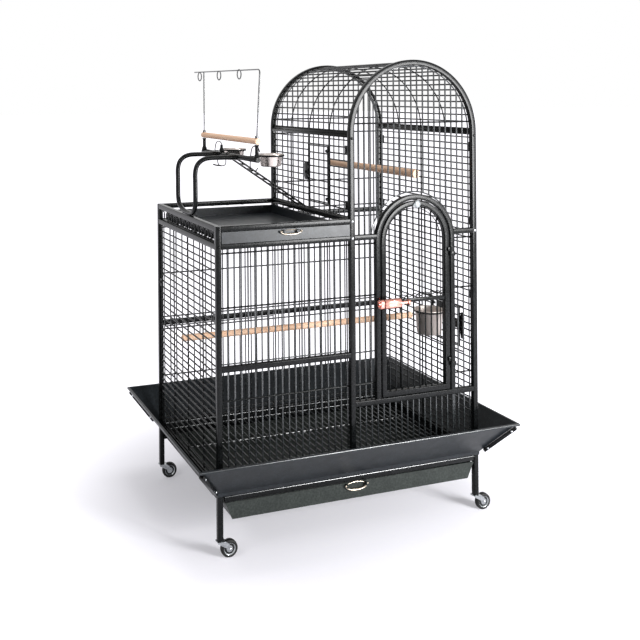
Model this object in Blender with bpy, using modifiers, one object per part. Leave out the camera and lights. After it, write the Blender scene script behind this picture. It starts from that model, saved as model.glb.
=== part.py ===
"""Play top bird cage on casters, in metres, +Z up.

The cage stands with its front at -Y. Its left half is low and carries an open play top with a
pull-out tray. Its right half rises into a barrel dome whose axis runs from front to back. Square
steel tube makes the front and back frames. Bars and wires 24 mm apart close every wall. The arched
door, the access door in the dome's side and the feeder door swing. The tray, the floor grate and the
debris pan slide out to the front. A sloped skirt catches seed all round.
"""

import math

import bmesh
import bpy
from mathutils import Matrix, Vector

# ---------------------------------------------------------------- driving sizes
TUBE = 0.019                    # square tube of every frame
HALF = TUBE / 2
GAP = 0.0003                    # clearance between pieces that meet
LEFT_X, MID_X, RIGHT_X = -0.512, -0.004, 0.512
FRONT_Y, BACK_Y = -0.3225, 0.3225
LEG_BOTTOM_Z = 0.060
BOTTOM_RAIL_Z = 0.2255
SILL_RAIL_Z = 0.456             # rail under the arched door
BACK_MID_RAIL_Z = 0.632
LOWER_RAIL_Z = 1.0465           # rail under the play top's tray
RIM_RAIL_Z = 1.1065
SPRING_Z = 1.414                # where the walls end and the dome begins
TOP_RAIL_Z = SPRING_Z - HALF - GAP
DOME_X = (MID_X + RIGHT_X) / 2
DOME_R = (RIGHT_X - MID_X) / 2  # to the middle of the arch tube
WIRE = 0.004                    # bars and wires of the walls
ROD_Y = (-0.161, 0.0, 0.161)    # stiffening rods of the side walls
INNER_Y = BACK_Y - HALF         # inner face of the front and back frames
ARC_STEPS = 16

DOOR_X = 0.257                  # middle of the arched door
DOOR_ARCH_Z = 1.024
JAMB_OUTER, JAMB_INNER = 0.1665, 0.148
DOOR_HALF, DOOR_STILE = 0.1435, 0.019
DOOR_BOTTOM_Z = 0.468
DOOR_THICK = 0.016
DOOR_RAIL_Z = 0.8075
DOOR_AXIS = (0.4028, FRONT_Y - HALF - 0.0045)
LATCH_Y = FRONT_Y - HALF - 0.0185
HINGE_Z = (0.570, 0.975)

SIDE_DOOR_Y = (-0.158, -0.003)  # access door in the dome's left wall
FEEDER_Y = (-0.234, -0.066)
FEEDER_CUP = (0.444, -0.138, 0.620)

SKIRT_FOOT_Z = 0.210
SKIRT_RISE, SKIRT_RUN = 0.124, 0.096
SKIRT_SHEET = 0.0015
PAN_HALF_X, PAN_TAPER = 0.497, 0.026
PAN_Z = (0.130, 0.1865)
GRATE_Z = 0.204
WHEEL_R, WHEEL_W, CASTER_TRAIL = 0.030, 0.020, 0.032

STAND_BAR = (-0.340, 1.3295)    # x and z of the play stand's cross bar
STAND_TUBE_R = 0.0095
STAND_END_Y = 0.262
STAND_CUPS = ((-0.247, -0.175), (-0.247, 0.175))
LADDER_Y = 0.035
PERCH_Z = 1.395
PERCH_R = 0.011

# ---------------------------------------------------------------- scene set-up
for old in list(bpy.data.objects):
    bpy.data.objects.remove(old)

cage = bpy.data.collections.new("play_top_bird_cage")
construction = bpy.data.collections.new("construction")
bpy.context.scene.collection.children.link(cage)
bpy.context.scene.collection.children.link(construction)


def material(name, colour, roughness, metallic):
    """Principled material with a plain colour."""
    made = bpy.data.materials.new(name)
    made.use_nodes = True
    shader = made.node_tree.nodes["Principled BSDF"]
    shader.inputs["Base Color"].default_value = (*colour, 1)
    shader.inputs["Roughness"].default_value = roughness
    shader.inputs["Metallic"].default_value = metallic
    return made


POWDER_COAT = material("hammertone powder coat", (0.045, 0.048, 0.050), 0.42, 0.3)
SHEET = material("powder coated sheet", (0.055, 0.058, 0.062), 0.38, 0.3)
DOWEL = material("dowel wood", (0.62, 0.36, 0.20), 0.65, 0.0)
STAINLESS = material("stainless steel", (0.55, 0.53, 0.52), 0.22, 1.0)
COPPER = material("copper plate", (0.75, 0.38, 0.30), 0.2, 1.0)
NICKEL = material("brushed nickel", (0.45, 0.42, 0.38), 0.3, 1.0)
RUBBER = material("rubber tyre", (0.02, 0.02, 0.02), 0.7, 0.0)
GALVANISED = material("zinc plate", (0.5, 0.5, 0.5), 0.3, 1.0)


# ---------------------------------------------------------------- shaping tools
SKEW = 0.35                     # outlines are filled at this angle, so that no two corners are level


def turn(plane):
    """Matrix that stands a drawing of (u, v) up: u along X or Y, v along Z."""
    level = Matrix.Rotation(-SKEW, 4, "Z")
    stand = Matrix.Rotation(math.pi / 2, 4, "X")
    if plane == "YZ":
        return Matrix.Rotation(math.pi / 2, 4, "Z") @ stand @ level
    if plane == "XZ":
        return stand @ level
    return level


def curve_mesh(curve):
    """Mesh of a curve with its caps welded on. The curve is removed."""
    holder = bpy.data.objects.new(curve.name, curve)
    construction.objects.link(holder)
    depsgraph = bpy.context.evaluated_depsgraph_get()
    mesh = bpy.data.meshes.new_from_object(holder.evaluated_get(depsgraph))
    bpy.data.objects.remove(holder)
    bpy.data.curves.remove(curve)
    work = bmesh.new()
    work.from_mesh(mesh)
    bmesh.ops.remove_doubles(work, verts=work.verts, dist=0.00002)
    bmesh.ops.recalc_face_normals(work, faces=work.faces)
    work.to_mesh(mesh)
    work.free()
    return mesh


def plate(outer, holes, thickness, plane, offset):
    """Flat piece from an outline and its holes, standing in a plane at an offset along its normal."""
    curve = bpy.data.curves.new("outline", "CURVE")
    curve.dimensions = "2D"
    curve.fill_mode = "BOTH"
    curve.extrude = thickness / 2
    for loop in [outer] + list(holes):
        spline = curve.splines.new("POLY")
        spline.points.add(len(loop) - 1)
        for point, (u, v) in zip(spline.points, loop):
            across, up = math.cos(SKEW), math.sin(SKEW)
            point.co = (u * across - v * up, u * up + v * across, 0, 1)
        spline.use_cyclic_u = True
    mesh = curve_mesh(curve)
    normal = {"XZ": (0, offset, 0), "YZ": (offset, 0, 0), "XY": (0, 0, offset)}[plane]
    mesh.transform(Matrix.Translation(normal) @ turn(plane))
    return mesh


def tube(points, radius, sides=8, closed=False):
    """Round bar along a smooth list of points, with filled ends."""
    curve = bpy.data.curves.new("path", "CURVE")
    curve.dimensions = "3D"
    curve.bevel_depth = radius
    curve.bevel_resolution = sides // 2 - 2
    curve.use_fill_caps = not closed
    spline = curve.splines.new("POLY")
    spline.points.add(len(points) - 1)
    for point, co in zip(spline.points, points):
        point.co = (*co, 1)
    spline.use_cyclic_u = closed
    return curve_mesh(curve)


def box(x0, x1, y0, y1, z0, z1):
    """Block between two corners."""
    work = bmesh.new()
    bmesh.ops.create_cube(work, size=1)
    size = Matrix.Diagonal((x1 - x0, y1 - y0, z1 - z0, 1))
    middle = Matrix.Translation(((x0 + x1) / 2, (y0 + y1) / 2, (z0 + z1) / 2))
    bmesh.ops.transform(work, matrix=middle @ size, verts=work.verts)
    mesh = bpy.data.meshes.new("block")
    work.to_mesh(mesh)
    work.free()
    return mesh


def cylinder(centre, radius, length, axis, sides=16):
    """Round pin about its centre, along an axis."""
    work = bmesh.new()
    bmesh.ops.create_cone(work, cap_ends=True, segments=sides, radius1=radius, radius2=radius, depth=length)
    swing = {"X": Matrix.Rotation(math.pi / 2, 4, "Y"), "Y": Matrix.Rotation(math.pi / 2, 4, "X"),
             "Z": Matrix.Identity(4)}[axis]
    bmesh.ops.transform(work, matrix=Matrix.Translation(centre) @ swing, verts=work.verts)
    mesh = bpy.data.meshes.new("pin")
    work.to_mesh(mesh)
    work.free()
    return mesh


def turned(profile, centre, axis, steps=24):
    """Closed profile of (radius, height) turned about an axis."""
    curve = bpy.data.meshes.new("profile")
    points = [(r, 0, h) for r, h in profile]
    curve.from_pydata(points, [(i, (i + 1) % len(points)) for i in range(len(points))], [])
    holder = bpy.data.objects.new("profile", curve)
    construction.objects.link(holder)
    screw = holder.modifiers.new("turn", "SCREW")
    screw.steps = screw.render_steps = steps
    screw.use_merge_vertices = True
    screw.merge_threshold = 0.00001
    mesh = bpy.data.meshes.new_from_object(holder.evaluated_get(bpy.context.evaluated_depsgraph_get()))
    bpy.data.objects.remove(holder)
    bpy.data.meshes.remove(curve)
    work = bmesh.new()
    work.from_mesh(mesh)
    bmesh.ops.remove_doubles(work, verts=work.verts, dist=0.00001)
    bmesh.ops.recalc_face_normals(work, faces=work.faces)
    work.to_mesh(mesh)
    work.free()
    swing = {"X": Matrix.Rotation(math.pi / 2, 4, "Y"), "Y": Matrix.Rotation(-math.pi / 2, 4, "X"),
             "Z": Matrix.Identity(4)}[axis]
    mesh.transform(Matrix.Translation(centre) @ swing)
    return mesh


def piece(name, mesh, look, welded=(), cut=(), origin=(0, 0, 0), smooth=False):
    """Named part of the cage. Welded meshes are united with it, cut meshes are taken away."""
    mesh.name = name
    mesh.transform(Matrix.Translation(-Vector(origin)))
    if smooth:
        mesh.shade_smooth()
        mesh.set_sharp_from_angle(angle=math.radians(35))
    mesh.materials.clear()
    mesh.materials.append(look)
    made = bpy.data.objects.new(name, mesh)
    made.location = origin
    cage.objects.link(made)
    for kind, operation, others in (("weld", "UNION", welded), ("cut", "DIFFERENCE", cut)):
        for number, other in enumerate(others):
            label = f"{name}_{kind}_{number + 1}"
            other.name = label
            helper = bpy.data.objects.new(label, other)
            helper.hide_render = True
            helper.display_type = "WIRE"
            construction.objects.link(helper)
            joint = made.modifiers.new(label, "BOOLEAN")
            joint.operation = operation
            joint.object = helper
            joint.solver = "EXACT"
    return made


def arc(cx, cz, radius, start, end, steps=ARC_STEPS):
    """Points on a circle from one angle to another, in degrees."""
    turnings = [math.radians(start + (end - start) * i / steps) for i in range(steps + 1)]
    return [(cx + radius * math.cos(a), cz + radius * math.sin(a)) for a in turnings]


def rectangle(u0, u1, v0, v1):
    return [(u0, v0), (u1, v0), (u1, v1), (u0, v1)]


def bar_gaps(u0, u1, border, count, bottom, top):
    """Gaps between upright bars. bottom and top give the panel's inner limits at a place u."""
    step = (u1 - u0 - 2 * border + WIRE) / count
    gaps = []
    for i in range(count):
        a = u0 + border + i * step
        b = a + step - WIRE
        gaps.append((a, b, bottom(a, b), top(a, b)))
    return [[(a, low[0]), (b, low[1]), (b, high[1]), (a, high[0])] for a, b, low, high in gaps]


def level(v):
    """Straight limit of a panel."""
    return lambda a, b: (v, v)


def under_arch(cx, cz, radius):
    """Limit under an arch."""
    return lambda a, b: tuple(cz + math.sqrt(max(radius ** 2 - (u - cx) ** 2, 0)) for u in (a, b))


# ---------------------------------------------------------------- front and back frames
def front_frame():
    """Posts, rails and door jamb of the front, cut as one flat weldment of square tube."""
    low_top = LOWER_RAIL_Z + HALF
    meet = math.degrees(math.asin((low_top - DOOR_ARCH_Z) / JAMB_OUTER))
    outer = [(LEFT_X - HALF, LEG_BOTTOM_Z), (LEFT_X - HALF, RIM_RAIL_Z + HALF),
             (MID_X - HALF, RIM_RAIL_Z + HALF), (MID_X - HALF, SPRING_Z - GAP),
             (MID_X + HALF, SPRING_Z - GAP), (MID_X + HALF, low_top)]
    outer += arc(DOOR_X, DOOR_ARCH_Z, JAMB_OUTER, 180 - meet, meet)
    outer += [(RIGHT_X - HALF, low_top), (RIGHT_X - HALF, SPRING_Z - GAP),
              (RIGHT_X + HALF, SPRING_Z - GAP), (RIGHT_X + HALF, LEG_BOTTOM_Z),
              (RIGHT_X - HALF, LEG_BOTTOM_Z), (RIGHT_X - HALF, BOTTOM_RAIL_Z - HALF),
              (LEFT_X + HALF, BOTTOM_RAIL_Z - HALF), (LEFT_X + HALF, LEG_BOTTOM_Z)]
    sill = SILL_RAIL_Z + HALF
    holes = [
        rectangle(LEFT_X + HALF, MID_X - HALF, low_top, RIM_RAIL_Z - HALF),
        rectangle(LEFT_X + HALF, MID_X - HALF, BOTTOM_RAIL_Z + HALF, LOWER_RAIL_Z - HALF),
        rectangle(MID_X + HALF, RIGHT_X - HALF, BOTTOM_RAIL_Z + HALF, SILL_RAIL_Z - HALF),
        rectangle(MID_X + HALF, DOOR_X - JAMB_OUTER, sill, LOWER_RAIL_Z - HALF),
        rectangle(DOOR_X + JAMB_OUTER, RIGHT_X - HALF, sill, LOWER_RAIL_Z - HALF),
        [(DOOR_X - JAMB_INNER, sill), (DOOR_X + JAMB_INNER, sill)]
        + arc(DOOR_X, DOOR_ARCH_Z, JAMB_INNER, 0, 180),
    ]
    rod_y = FRONT_Y + HALF - 0.0025
    rods = [box(LEFT_X, MID_X, rod_y - 0.002, rod_y + 0.002, z - 0.002, z + 0.002) for z in (0.520, 0.836)]
    rods += [box(MID_X, DOOR_X - JAMB_OUTER + 0.004, rod_y - 0.002, rod_y + 0.002, 0.834, 0.838),
             box(DOOR_X + JAMB_OUTER - 0.004, RIGHT_X, rod_y - 0.002, rod_y + 0.002, 0.834, 0.838)]
    knuckles = []
    for z in HINGE_Z:
        knuckles.append(cylinder((*DOOR_AXIS, z - 0.0085), 0.0045, 0.016, "Z", 8))
        knuckles.append(box(DOOR_AXIS[0] + 0.001, DOOR_X + JAMB_OUTER - 0.001,
                            DOOR_AXIS[1] - 0.0015, FRONT_Y - HALF + 0.002, z - 0.0160, z - 0.0010))
    keeper = turned([(0.0175, -0.009), (0.0175, 0.009), (0.0085, 0.009), (0.0085, -0.009)],
                    (DOOR_X - JAMB_OUTER + 0.0090, LATCH_Y, DOOR_RAIL_Z), "X", 14)
    foot = box(DOOR_X - JAMB_OUTER + 0.0030, DOOR_X - JAMB_OUTER + 0.0150,
               FRONT_Y - HALF - 0.0050, FRONT_Y - HALF + 0.003, DOOR_RAIL_Z - 0.010, DOOR_RAIL_Z + 0.010)
    piece("front_frame", plate(outer, holes, TUBE, "XZ", FRONT_Y), POWDER_COAT,
          welded=rods + knuckles + [keeper, foot])


def back_frame():
    """Posts and rails of the back. The middle rail joins the two rows of bars."""
    low_top = LOWER_RAIL_Z + HALF
    outer = [(LEFT_X - HALF, LEG_BOTTOM_Z), (LEFT_X - HALF, RIM_RAIL_Z + HALF),
             (MID_X - HALF, RIM_RAIL_Z + HALF), (MID_X - HALF, SPRING_Z - GAP),
             (MID_X + HALF, SPRING_Z - GAP), (MID_X + HALF, low_top),
             (RIGHT_X - HALF, low_top), (RIGHT_X - HALF, SPRING_Z - GAP),
             (RIGHT_X + HALF, SPRING_Z - GAP), (RIGHT_X + HALF, LEG_BOTTOM_Z),
             (RIGHT_X - HALF, LEG_BOTTOM_Z), (RIGHT_X - HALF, BOTTOM_RAIL_Z - HALF),
             (LEFT_X + HALF, BOTTOM_RAIL_Z - HALF), (LEFT_X + HALF, LEG_BOTTOM_Z)]
    holes = [rectangle(LEFT_X + HALF, MID_X - HALF, low_top, RIM_RAIL_Z - HALF)]
    for x0, x1 in ((LEFT_X, MID_X), (MID_X, RIGHT_X)):
        holes.append(rectangle(x0 + HALF, x1 - HALF, BOTTOM_RAIL_Z + HALF, BACK_MID_RAIL_Z - HALF))
        holes.append(rectangle(x0 + HALF, x1 - HALF, BACK_MID_RAIL_Z + HALF, LOWER_RAIL_Z - HALF))
    rod_y = BACK_Y - HALF + 0.0025
    rods = [box(LEFT_X, RIGHT_X, rod_y - 0.002, rod_y + 0.002, z - 0.002, z + 0.002) for z in (0.420, 0.834)]
    rods += [box(MID_X, RIGHT_X, rod_y - 0.002, rod_y + 0.002, z - 0.002, z + 0.002) for z in (1.185,)]
    piece("back_frame", plate(outer, holes, TUBE, "XZ", BACK_Y), POWDER_COAT, welded=rods)


def dome_frame():
    """Two arches on the posts, and the side strips with three thinner hoops that stand between them."""
    arch = [arc(DOME_X, SPRING_Z, DOME_R + HALF, 0, 180), arc(DOME_X, SPRING_Z, DOME_R - HALF, 180, 0)]
    for name, y, inner in (("dome_front_arch", FRONT_Y, 1), ("dome_back_arch", BACK_Y, -1)):
        rod_y = y + inner * (HALF - 0.0025)
        rod = box(MID_X + 0.006, RIGHT_X - 0.006, rod_y - 0.002, rod_y + 0.002, 1.450, 1.454)
        piece(name, plate(arch[0] + arch[1], [], TUBE, "XZ", y), POWDER_COAT, welded=[rod])
    ends = BACK_Y - HALF - GAP
    strips = [box(x - 0.006 * side - 0.006, x - 0.006 * side + 0.006, -ends, ends, SPRING_Z, SPRING_Z + 0.008)
              for x, side in ((MID_X + 0.005, 1), (RIGHT_X - 0.005, -1))]
    hoop_r = DOME_R - WIRE / 2 - GAP
    ring = arc(DOME_X, SPRING_Z, hoop_r, 0, 180, 10) + arc(DOME_X, SPRING_Z, hoop_r - 0.004, 180, 0, 10)
    hoops = [plate(ring, [], 0.005, "XZ", y) for y in ROD_Y]
    piece("dome_hoops", strips[0], POWDER_COAT, welded=strips[1:] + hoops)


# ---------------------------------------------------------------- side frames
def side_tube(x, z):
    """Rail from front to back between the posts."""
    return box(x - HALF, x + HALF, FRONT_Y + HALF + GAP, BACK_Y - HALF - GAP, z - HALF, z + HALF)


def runner(x, inward, z, depth):
    """Lip that a sliding tray rests on, standing inward from a side rail."""
    x0, x1 = sorted((x + inward * (HALF - 0.001), x + inward * (HALF + depth)))
    return box(x0, x1, FRONT_Y + HALF + 0.004, BACK_Y - HALF - GAP, z - 0.002, z)


def hanger(x, inward, z0, z1):
    """Web that carries the runners below a bottom rail."""
    x0, x1 = sorted((x + inward * (HALF - 0.003), x + inward * (HALF - 0.001)))
    return box(x0, x1, FRONT_Y + HALF + 0.004, BACK_Y - HALF - GAP, z0, z1)


def side_rods(x, z0, z1, inward):
    """Three upright rods on the inner side of a wall's wires."""
    middle = x + inward * (WIRE / 2 + GAP + WIRE / 2)
    return [box(middle - 0.002, middle + 0.002, y - 0.002, y + 0.002, z0, z1) for y in ROD_Y]


def side_frames():
    """Rails and rods of the left wall, the right wall and the dome's left wall."""
    stubs = []
    for end in (-1, 1):
        edge = end * (INNER_Y - GAP)
        stubs.append((min(edge, edge - end * 0.008), max(edge, edge - end * 0.008)))
    left = [side_tube(LEFT_X, LOWER_RAIL_Z), side_tube(LEFT_X, RIM_RAIL_Z)]
    left += [box(LEFT_X - 0.007, LEFT_X + 0.007, y0, y1, LOWER_RAIL_Z, RIM_RAIL_Z) for y0, y1 in stubs]
    left += side_rods(LEFT_X, BOTTOM_RAIL_Z, LOWER_RAIL_Z, 1)
    left += [runner(LEFT_X, 1, LOWER_RAIL_Z + HALF - 0.001, 0.012)]
    left += [hanger(LEFT_X, 1, 0.178, BOTTOM_RAIL_Z), runner(LEFT_X, 1, 0.180, 0.014),
             runner(LEFT_X, 1, GRATE_Z - 0.0025, 0.012)]
    piece("left_side_frame", side_tube(LEFT_X, BOTTOM_RAIL_Z), POWDER_COAT, welded=left)

    right = [side_tube(RIGHT_X, TOP_RAIL_Z)]
    right += [box(RIGHT_X - 0.0063, RIGHT_X - 0.0023, y - 0.002, y + 0.002, BOTTOM_RAIL_Z, TOP_RAIL_Z)
              for y in ROD_Y[1:]]
    right += [box(RIGHT_X - 0.0063, RIGHT_X - 0.0023, ROD_Y[0] - 0.002, ROD_Y[0] + 0.002, z0, z1)
              for z0, z1 in ((BOTTOM_RAIL_Z, 0.575), (0.745, TOP_RAIL_Z))]
    right += [box(RIGHT_X - 0.0063, RIGHT_X - 0.0023, ROD_Y[0] - 0.100, ROD_Y[1] + 0.002, z, z + 0.004)
              for z in (0.573, 0.743)]
    right += [hanger(RIGHT_X, -1, 0.178, BOTTOM_RAIL_Z), runner(RIGHT_X, -1, 0.180, 0.014),
              runner(RIGHT_X, -1, GRATE_Z - 0.0025, 0.012)]
    piece("right_side_frame", side_tube(RIGHT_X, BOTTOM_RAIL_Z), POWDER_COAT, welded=right)

    middle = [side_tube(MID_X, RIM_RAIL_Z), side_tube(MID_X, TOP_RAIL_Z)]
    middle += [box(MID_X - 0.007, MID_X + 0.007, y0, y1, LOWER_RAIL_Z, RIM_RAIL_Z) for y0, y1 in stubs]
    middle += side_rods(MID_X, RIM_RAIL_Z, TOP_RAIL_Z, 1)
    middle += [runner(MID_X, -1, LOWER_RAIL_Z + HALF - 0.001, 0.012)]
    piece("dome_side_frame", side_tube(MID_X, LOWER_RAIL_Z), POWDER_COAT, welded=middle)


# ---------------------------------------------------------------- bars of the front and back
def bar_panels():
    """Upright bars in a thin border, on the inner faces of the front and back frames."""
    border = 0.005
    bottom, top = BOTTOM_RAIL_Z - 0.003, LOWER_RAIL_Z + 0.003
    left0, left1 = LEFT_X + HALF + GAP, MID_X - HALF - GAP
    right0, right1 = MID_X + HALF + GAP, RIGHT_X - HALF - GAP
    front, back = FRONT_Y + HALF + GAP + WIRE / 2, BACK_Y - HALF - GAP - WIRE / 2
    radius = DOME_X - right0
    roof = under_arch(DOME_X, SPRING_Z, radius - border)

    for name, y in (("front_left_bars", front), ("back_left_bars", back)):
        gaps = bar_gaps(left0, left1, border, 19, level(bottom + border), level(top - border))
        piece(name, plate(rectangle(left0, left1, bottom, top), gaps, WIRE, "XZ", y), POWDER_COAT)

    # On the tall side the bars run on into the dome.
    gable = [(right0, bottom), (right1, bottom)] + arc(DOME_X, SPRING_Z, radius, 0, 180)
    gaps = bar_gaps(right0, right1, border, 20, level(bottom + border), roof)
    piece("back_right_bars", plate(gable, gaps, WIRE, "XZ", back), POWDER_COAT)

    # Around the door the bars stop on a border that follows the jamb's arch.
    clear, rim = JAMB_INNER + 0.002, JAMB_OUTER + 0.009
    sill = SILL_RAIL_Z + 0.003
    step = (right1 - right0 - 2 * border + WIRE) / 20
    gaps = []
    for i in range(20):
        a = right0 + border + i * step
        b = a + step - WIRE
        high = roof(a, b)
        if a < DOOR_X - rim < b - 0.004 or b < DOOR_X - rim:
            b = min(b, DOOR_X - rim)
        elif a + 0.004 < DOOR_X + rim < b or a > DOOR_X + rim:
            a = max(a, DOOR_X + rim)
        else:
            gaps.append(rectangle(a, b, bottom + border, sill - border))
            low = under_arch(DOOR_X, DOOR_ARCH_Z, rim)(a, b)
            gaps.append([(a, low[0]), (b, low[1]), (b, high[1]), (a, high[0])])
            continue
        high = roof(a, b)
        gaps.append([(a, bottom + border), (b, bottom + border), (b, high[1]), (a, high[0])])
    opening = [(DOOR_X - clear, sill), (DOOR_X + clear, sill)] + arc(DOOR_X, DOOR_ARCH_Z, clear, 0, 180)
    piece("front_right_bars", plate(gable, gaps + [opening], WIRE, "XZ", front), POWDER_COAT)


# ---------------------------------------------------------------- wires of the side walls and the roof
def wire_panel(z0, z1, count, opening=None):
    """Outline and gaps of a wall of level wires. opening is (y0, y1, first row, rows)."""
    y0, y1 = FRONT_Y + HALF + GAP, BACK_Y - HALF - GAP
    border = 0.005
    step = (z1 - z0 - 2 * border + WIRE) / count
    gaps = []
    for i in range(count):
        a = z0 + border + i * step
        b = a + step - WIRE
        if opening and opening[2] <= i < opening[2] + opening[3]:
            gaps.append(rectangle(y0 + border, opening[0] - border, a, b))
            gaps.append(rectangle(opening[1] + border, y1 - border, a, b))
        else:
            gaps.append(rectangle(y0 + border, y1 - border, a, b))
    if opening:
        low = z0 + border + opening[2] * step
        high = z0 + border + (opening[2] + opening[3]) * step - WIRE
        gaps.append(rectangle(opening[0], opening[1], low, high))
        return rectangle(y0, y1, z0, z1), gaps, (low, high)
    return rectangle(y0, y1, z0, z1), gaps, None


def wire_panels():
    """Level wires between the posts, with the openings for the two small doors."""
    foot = BOTTOM_RAIL_Z + HALF + GAP
    outline, gaps, _ = wire_panel(foot, LOWER_RAIL_Z - HALF - GAP, 32)
    piece("left_wires", plate(outline, gaps, WIRE, "YZ", LEFT_X), POWDER_COAT)

    head = TOP_RAIL_Z - HALF - GAP
    outline, gaps, feeder = wire_panel(foot, head, 46, (*FEEDER_Y, 14, 6))
    piece("right_wires", plate(outline, gaps, WIRE, "YZ", RIGHT_X), POWDER_COAT)

    outline, gaps, access = wire_panel(RIM_RAIL_Z + HALF + GAP, head, 11, (*SIDE_DOOR_Y, 1, 9))
    piece("dome_side_wires", plate(outline, gaps, WIRE, "YZ", MID_X), POWDER_COAT)
    return feeder, access


def roof_wires():
    """Barrel of wires from arch to arch, made flat as a grid, bent round the dome and thickened."""
    count, edge = 30, 0.005
    y0, y1 = FRONT_Y + HALF + GAP, BACK_Y - HALF - GAP
    start = math.asin((0.008 + GAP) / (DOME_R - WIRE / 2)) + 0.002
    span = math.pi - 2 * start
    wire = WIRE / DOME_R
    step = (span - wire) / count
    angles = []
    for i in range(count + 1):
        angles += [start + i * step, start + i * step + wire]
    lines = [y0, y0 + edge, y1 - edge, y1]
    work = bmesh.new()
    bmesh.ops.create_grid(work, x_segments=len(angles) - 1, y_segments=3, size=1)
    gaps = []
    for face in work.faces:
        middle = face.calc_center_median()
        column = int((middle.x + 1) / 2 * (len(angles) - 1))
        row = int((middle.y + 1) / 2 * 3)
        if column % 2 and row == 1:
            gaps.append(face)
    bmesh.ops.delete(work, geom=gaps, context="FACES")
    for vert in work.verts:
        angle = angles[round((vert.co.x + 1) / 2 * (len(angles) - 1))]
        y = lines[round((vert.co.y + 1) / 2 * 3)]
        vert.co = (DOME_X + DOME_R * math.cos(angle), y, SPRING_Z + DOME_R * math.sin(angle))
    mesh = bpy.data.meshes.new("roof_wires")
    work.to_mesh(mesh)
    work.free()
    roof = piece("roof_wires", mesh, POWDER_COAT)
    thick = roof.modifiers.new("thickness", "SOLIDIFY")
    thick.thickness = WIRE
    thick.offset = 0


# ---------------------------------------------------------------- doors and latches
def main_door():
    """Arched door: tube frame with its bars, a middle rail and the latch barrel."""
    stile = DOOR_HALF - DOOR_STILE
    y = FRONT_Y - HALF + 0.0005 + DOOR_THICK / 2
    outer = [(DOOR_X - DOOR_HALF, DOOR_BOTTOM_Z), (DOOR_X + DOOR_HALF, DOOR_BOTTOM_Z)]
    outer += arc(DOOR_X, DOOR_ARCH_Z, DOOR_HALF, 0, 180)
    inner = [(DOOR_X - stile, DOOR_BOTTOM_Z + DOOR_STILE), (DOOR_X + stile, DOOR_BOTTOM_Z + DOOR_STILE)]
    inner += arc(DOOR_X, DOOR_ARCH_Z, stile, 0, 180)
    frame = plate(outer, [inner], DOOR_THICK, "XZ", y)
    parts = [box(DOOR_X - stile - 0.004, DOOR_X + stile + 0.004, y - 0.0055, y + 0.0015,
                 DOOR_RAIL_Z - 0.006, DOOR_RAIL_Z + 0.006)]
    for z in HINGE_Z:
        parts.append(cylinder((*DOOR_AXIS, z + 0.0085), 0.0045, 0.0164, "Z", 8))
        parts.append(box(DOOR_X + DOOR_HALF - 0.010, DOOR_AXIS[0] - 0.001, DOOR_AXIS[1] - 0.0015, y,
                         z + 0.002, z + 0.016))
    barrel_y = LATCH_Y
    x0, x1 = DOOR_X - DOOR_HALF + 0.0115, DOOR_X - DOOR_HALF + 0.0640
    parts.append(turned([(0.0175, x0), (0.0175, x1), (0.0075, x1), (0.0075, x0)],
                        (0, barrel_y, DOOR_RAIL_Z), "X", 14))
    parts.append(box(x0 + 0.002, x1 - 0.002, barrel_y + 0.0125, y - 0.003, DOOR_RAIL_Z - 0.005, DOOR_RAIL_Z + 0.005))
    piece("main_door", frame, POWDER_COAT, welded=parts, origin=(*DOOR_AXIS, DOOR_BOTTOM_Z))

    # The bars stop on a thin border behind the tube.
    border, lap = 0.004, 0.0035
    back = y + DOOR_THICK / 2 + GAP + WIRE / 2
    reach = stile + lap
    low, high = DOOR_BOTTOM_Z + DOOR_STILE - lap, DOOR_RAIL_Z
    outline = [(DOOR_X - reach, low), (DOOR_X + reach, low)] + arc(DOOR_X, DOOR_ARCH_Z, reach, 0, 180)
    gaps = bar_gaps(DOOR_X - reach, DOOR_X + reach, border, 10, level(low + border), level(high - 0.002))
    gaps += bar_gaps(DOOR_X - reach, DOOR_X + reach, border, 10, level(high + 0.002),
                     under_arch(DOOR_X, DOOR_ARCH_Z, reach - border))
    piece("main_door_bars", plate(outline, gaps, WIRE, "XZ", back), POWDER_COAT)

    # The bolt is drawn back clear of the keeper, with its knob a throw away from the barrel.
    bolt = turned([(0.0001, -0.0500), (0.0062, -0.0500), (0.0062, 0.0285), (0.0115, 0.0295),
                   (0.0115, 0.0380), (0.0001, 0.0400)],
                  (x1, barrel_y, DOOR_RAIL_Z), "X", 10)
    piece("main_door_bolt", bolt, COPPER, origin=(x1, barrel_y, DOOR_RAIL_Z), smooth=True)


def small_door(name, x, y0, y1, z0, z1, rows, hinge_y, outward, cup=None):
    """Wire door in a side wall: border, level wires and two hinge loops on its hinge side."""
    border = 0.005
    step = (z1 - z0 - 2 * border + WIRE) / rows
    gaps = [rectangle(y0 + border, y1 - border, z0 + border + i * step, z0 + border + (i + 1) * step - WIRE)
            for i in range(rows)]
    parts = []
    side = 1 if hinge_y > y0 else -1
    edge = y1 if side > 0 else y0
    axis_x = x + outward * 0.0065
    for z in (z0 + 0.012, z1 - 0.024):
        parts.append(cylinder((axis_x, hinge_y, z + 0.006), 0.0032, 0.012, "Z", 8))
        a, b = sorted((edge - side * 0.0080, hinge_y))
        parts.append(box(axis_x - 0.0012, axis_x + 0.0012, a, b, z + 0.001, z + 0.011))
        a, b = sorted((edge - side * 0.0070, edge - side * 0.0010))
        root, tip = sorted((x + outward * 0.0010, axis_x))
        parts.append(box(root, tip, a, b, z + 0.002, z + 0.010))
    if cup:
        parts += cup
    return piece(name, plate(rectangle(y0, y1, z0, z1), gaps, WIRE, "YZ", x), POWDER_COAT,
                 welded=parts, origin=(axis_x, hinge_y, z0))


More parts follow.
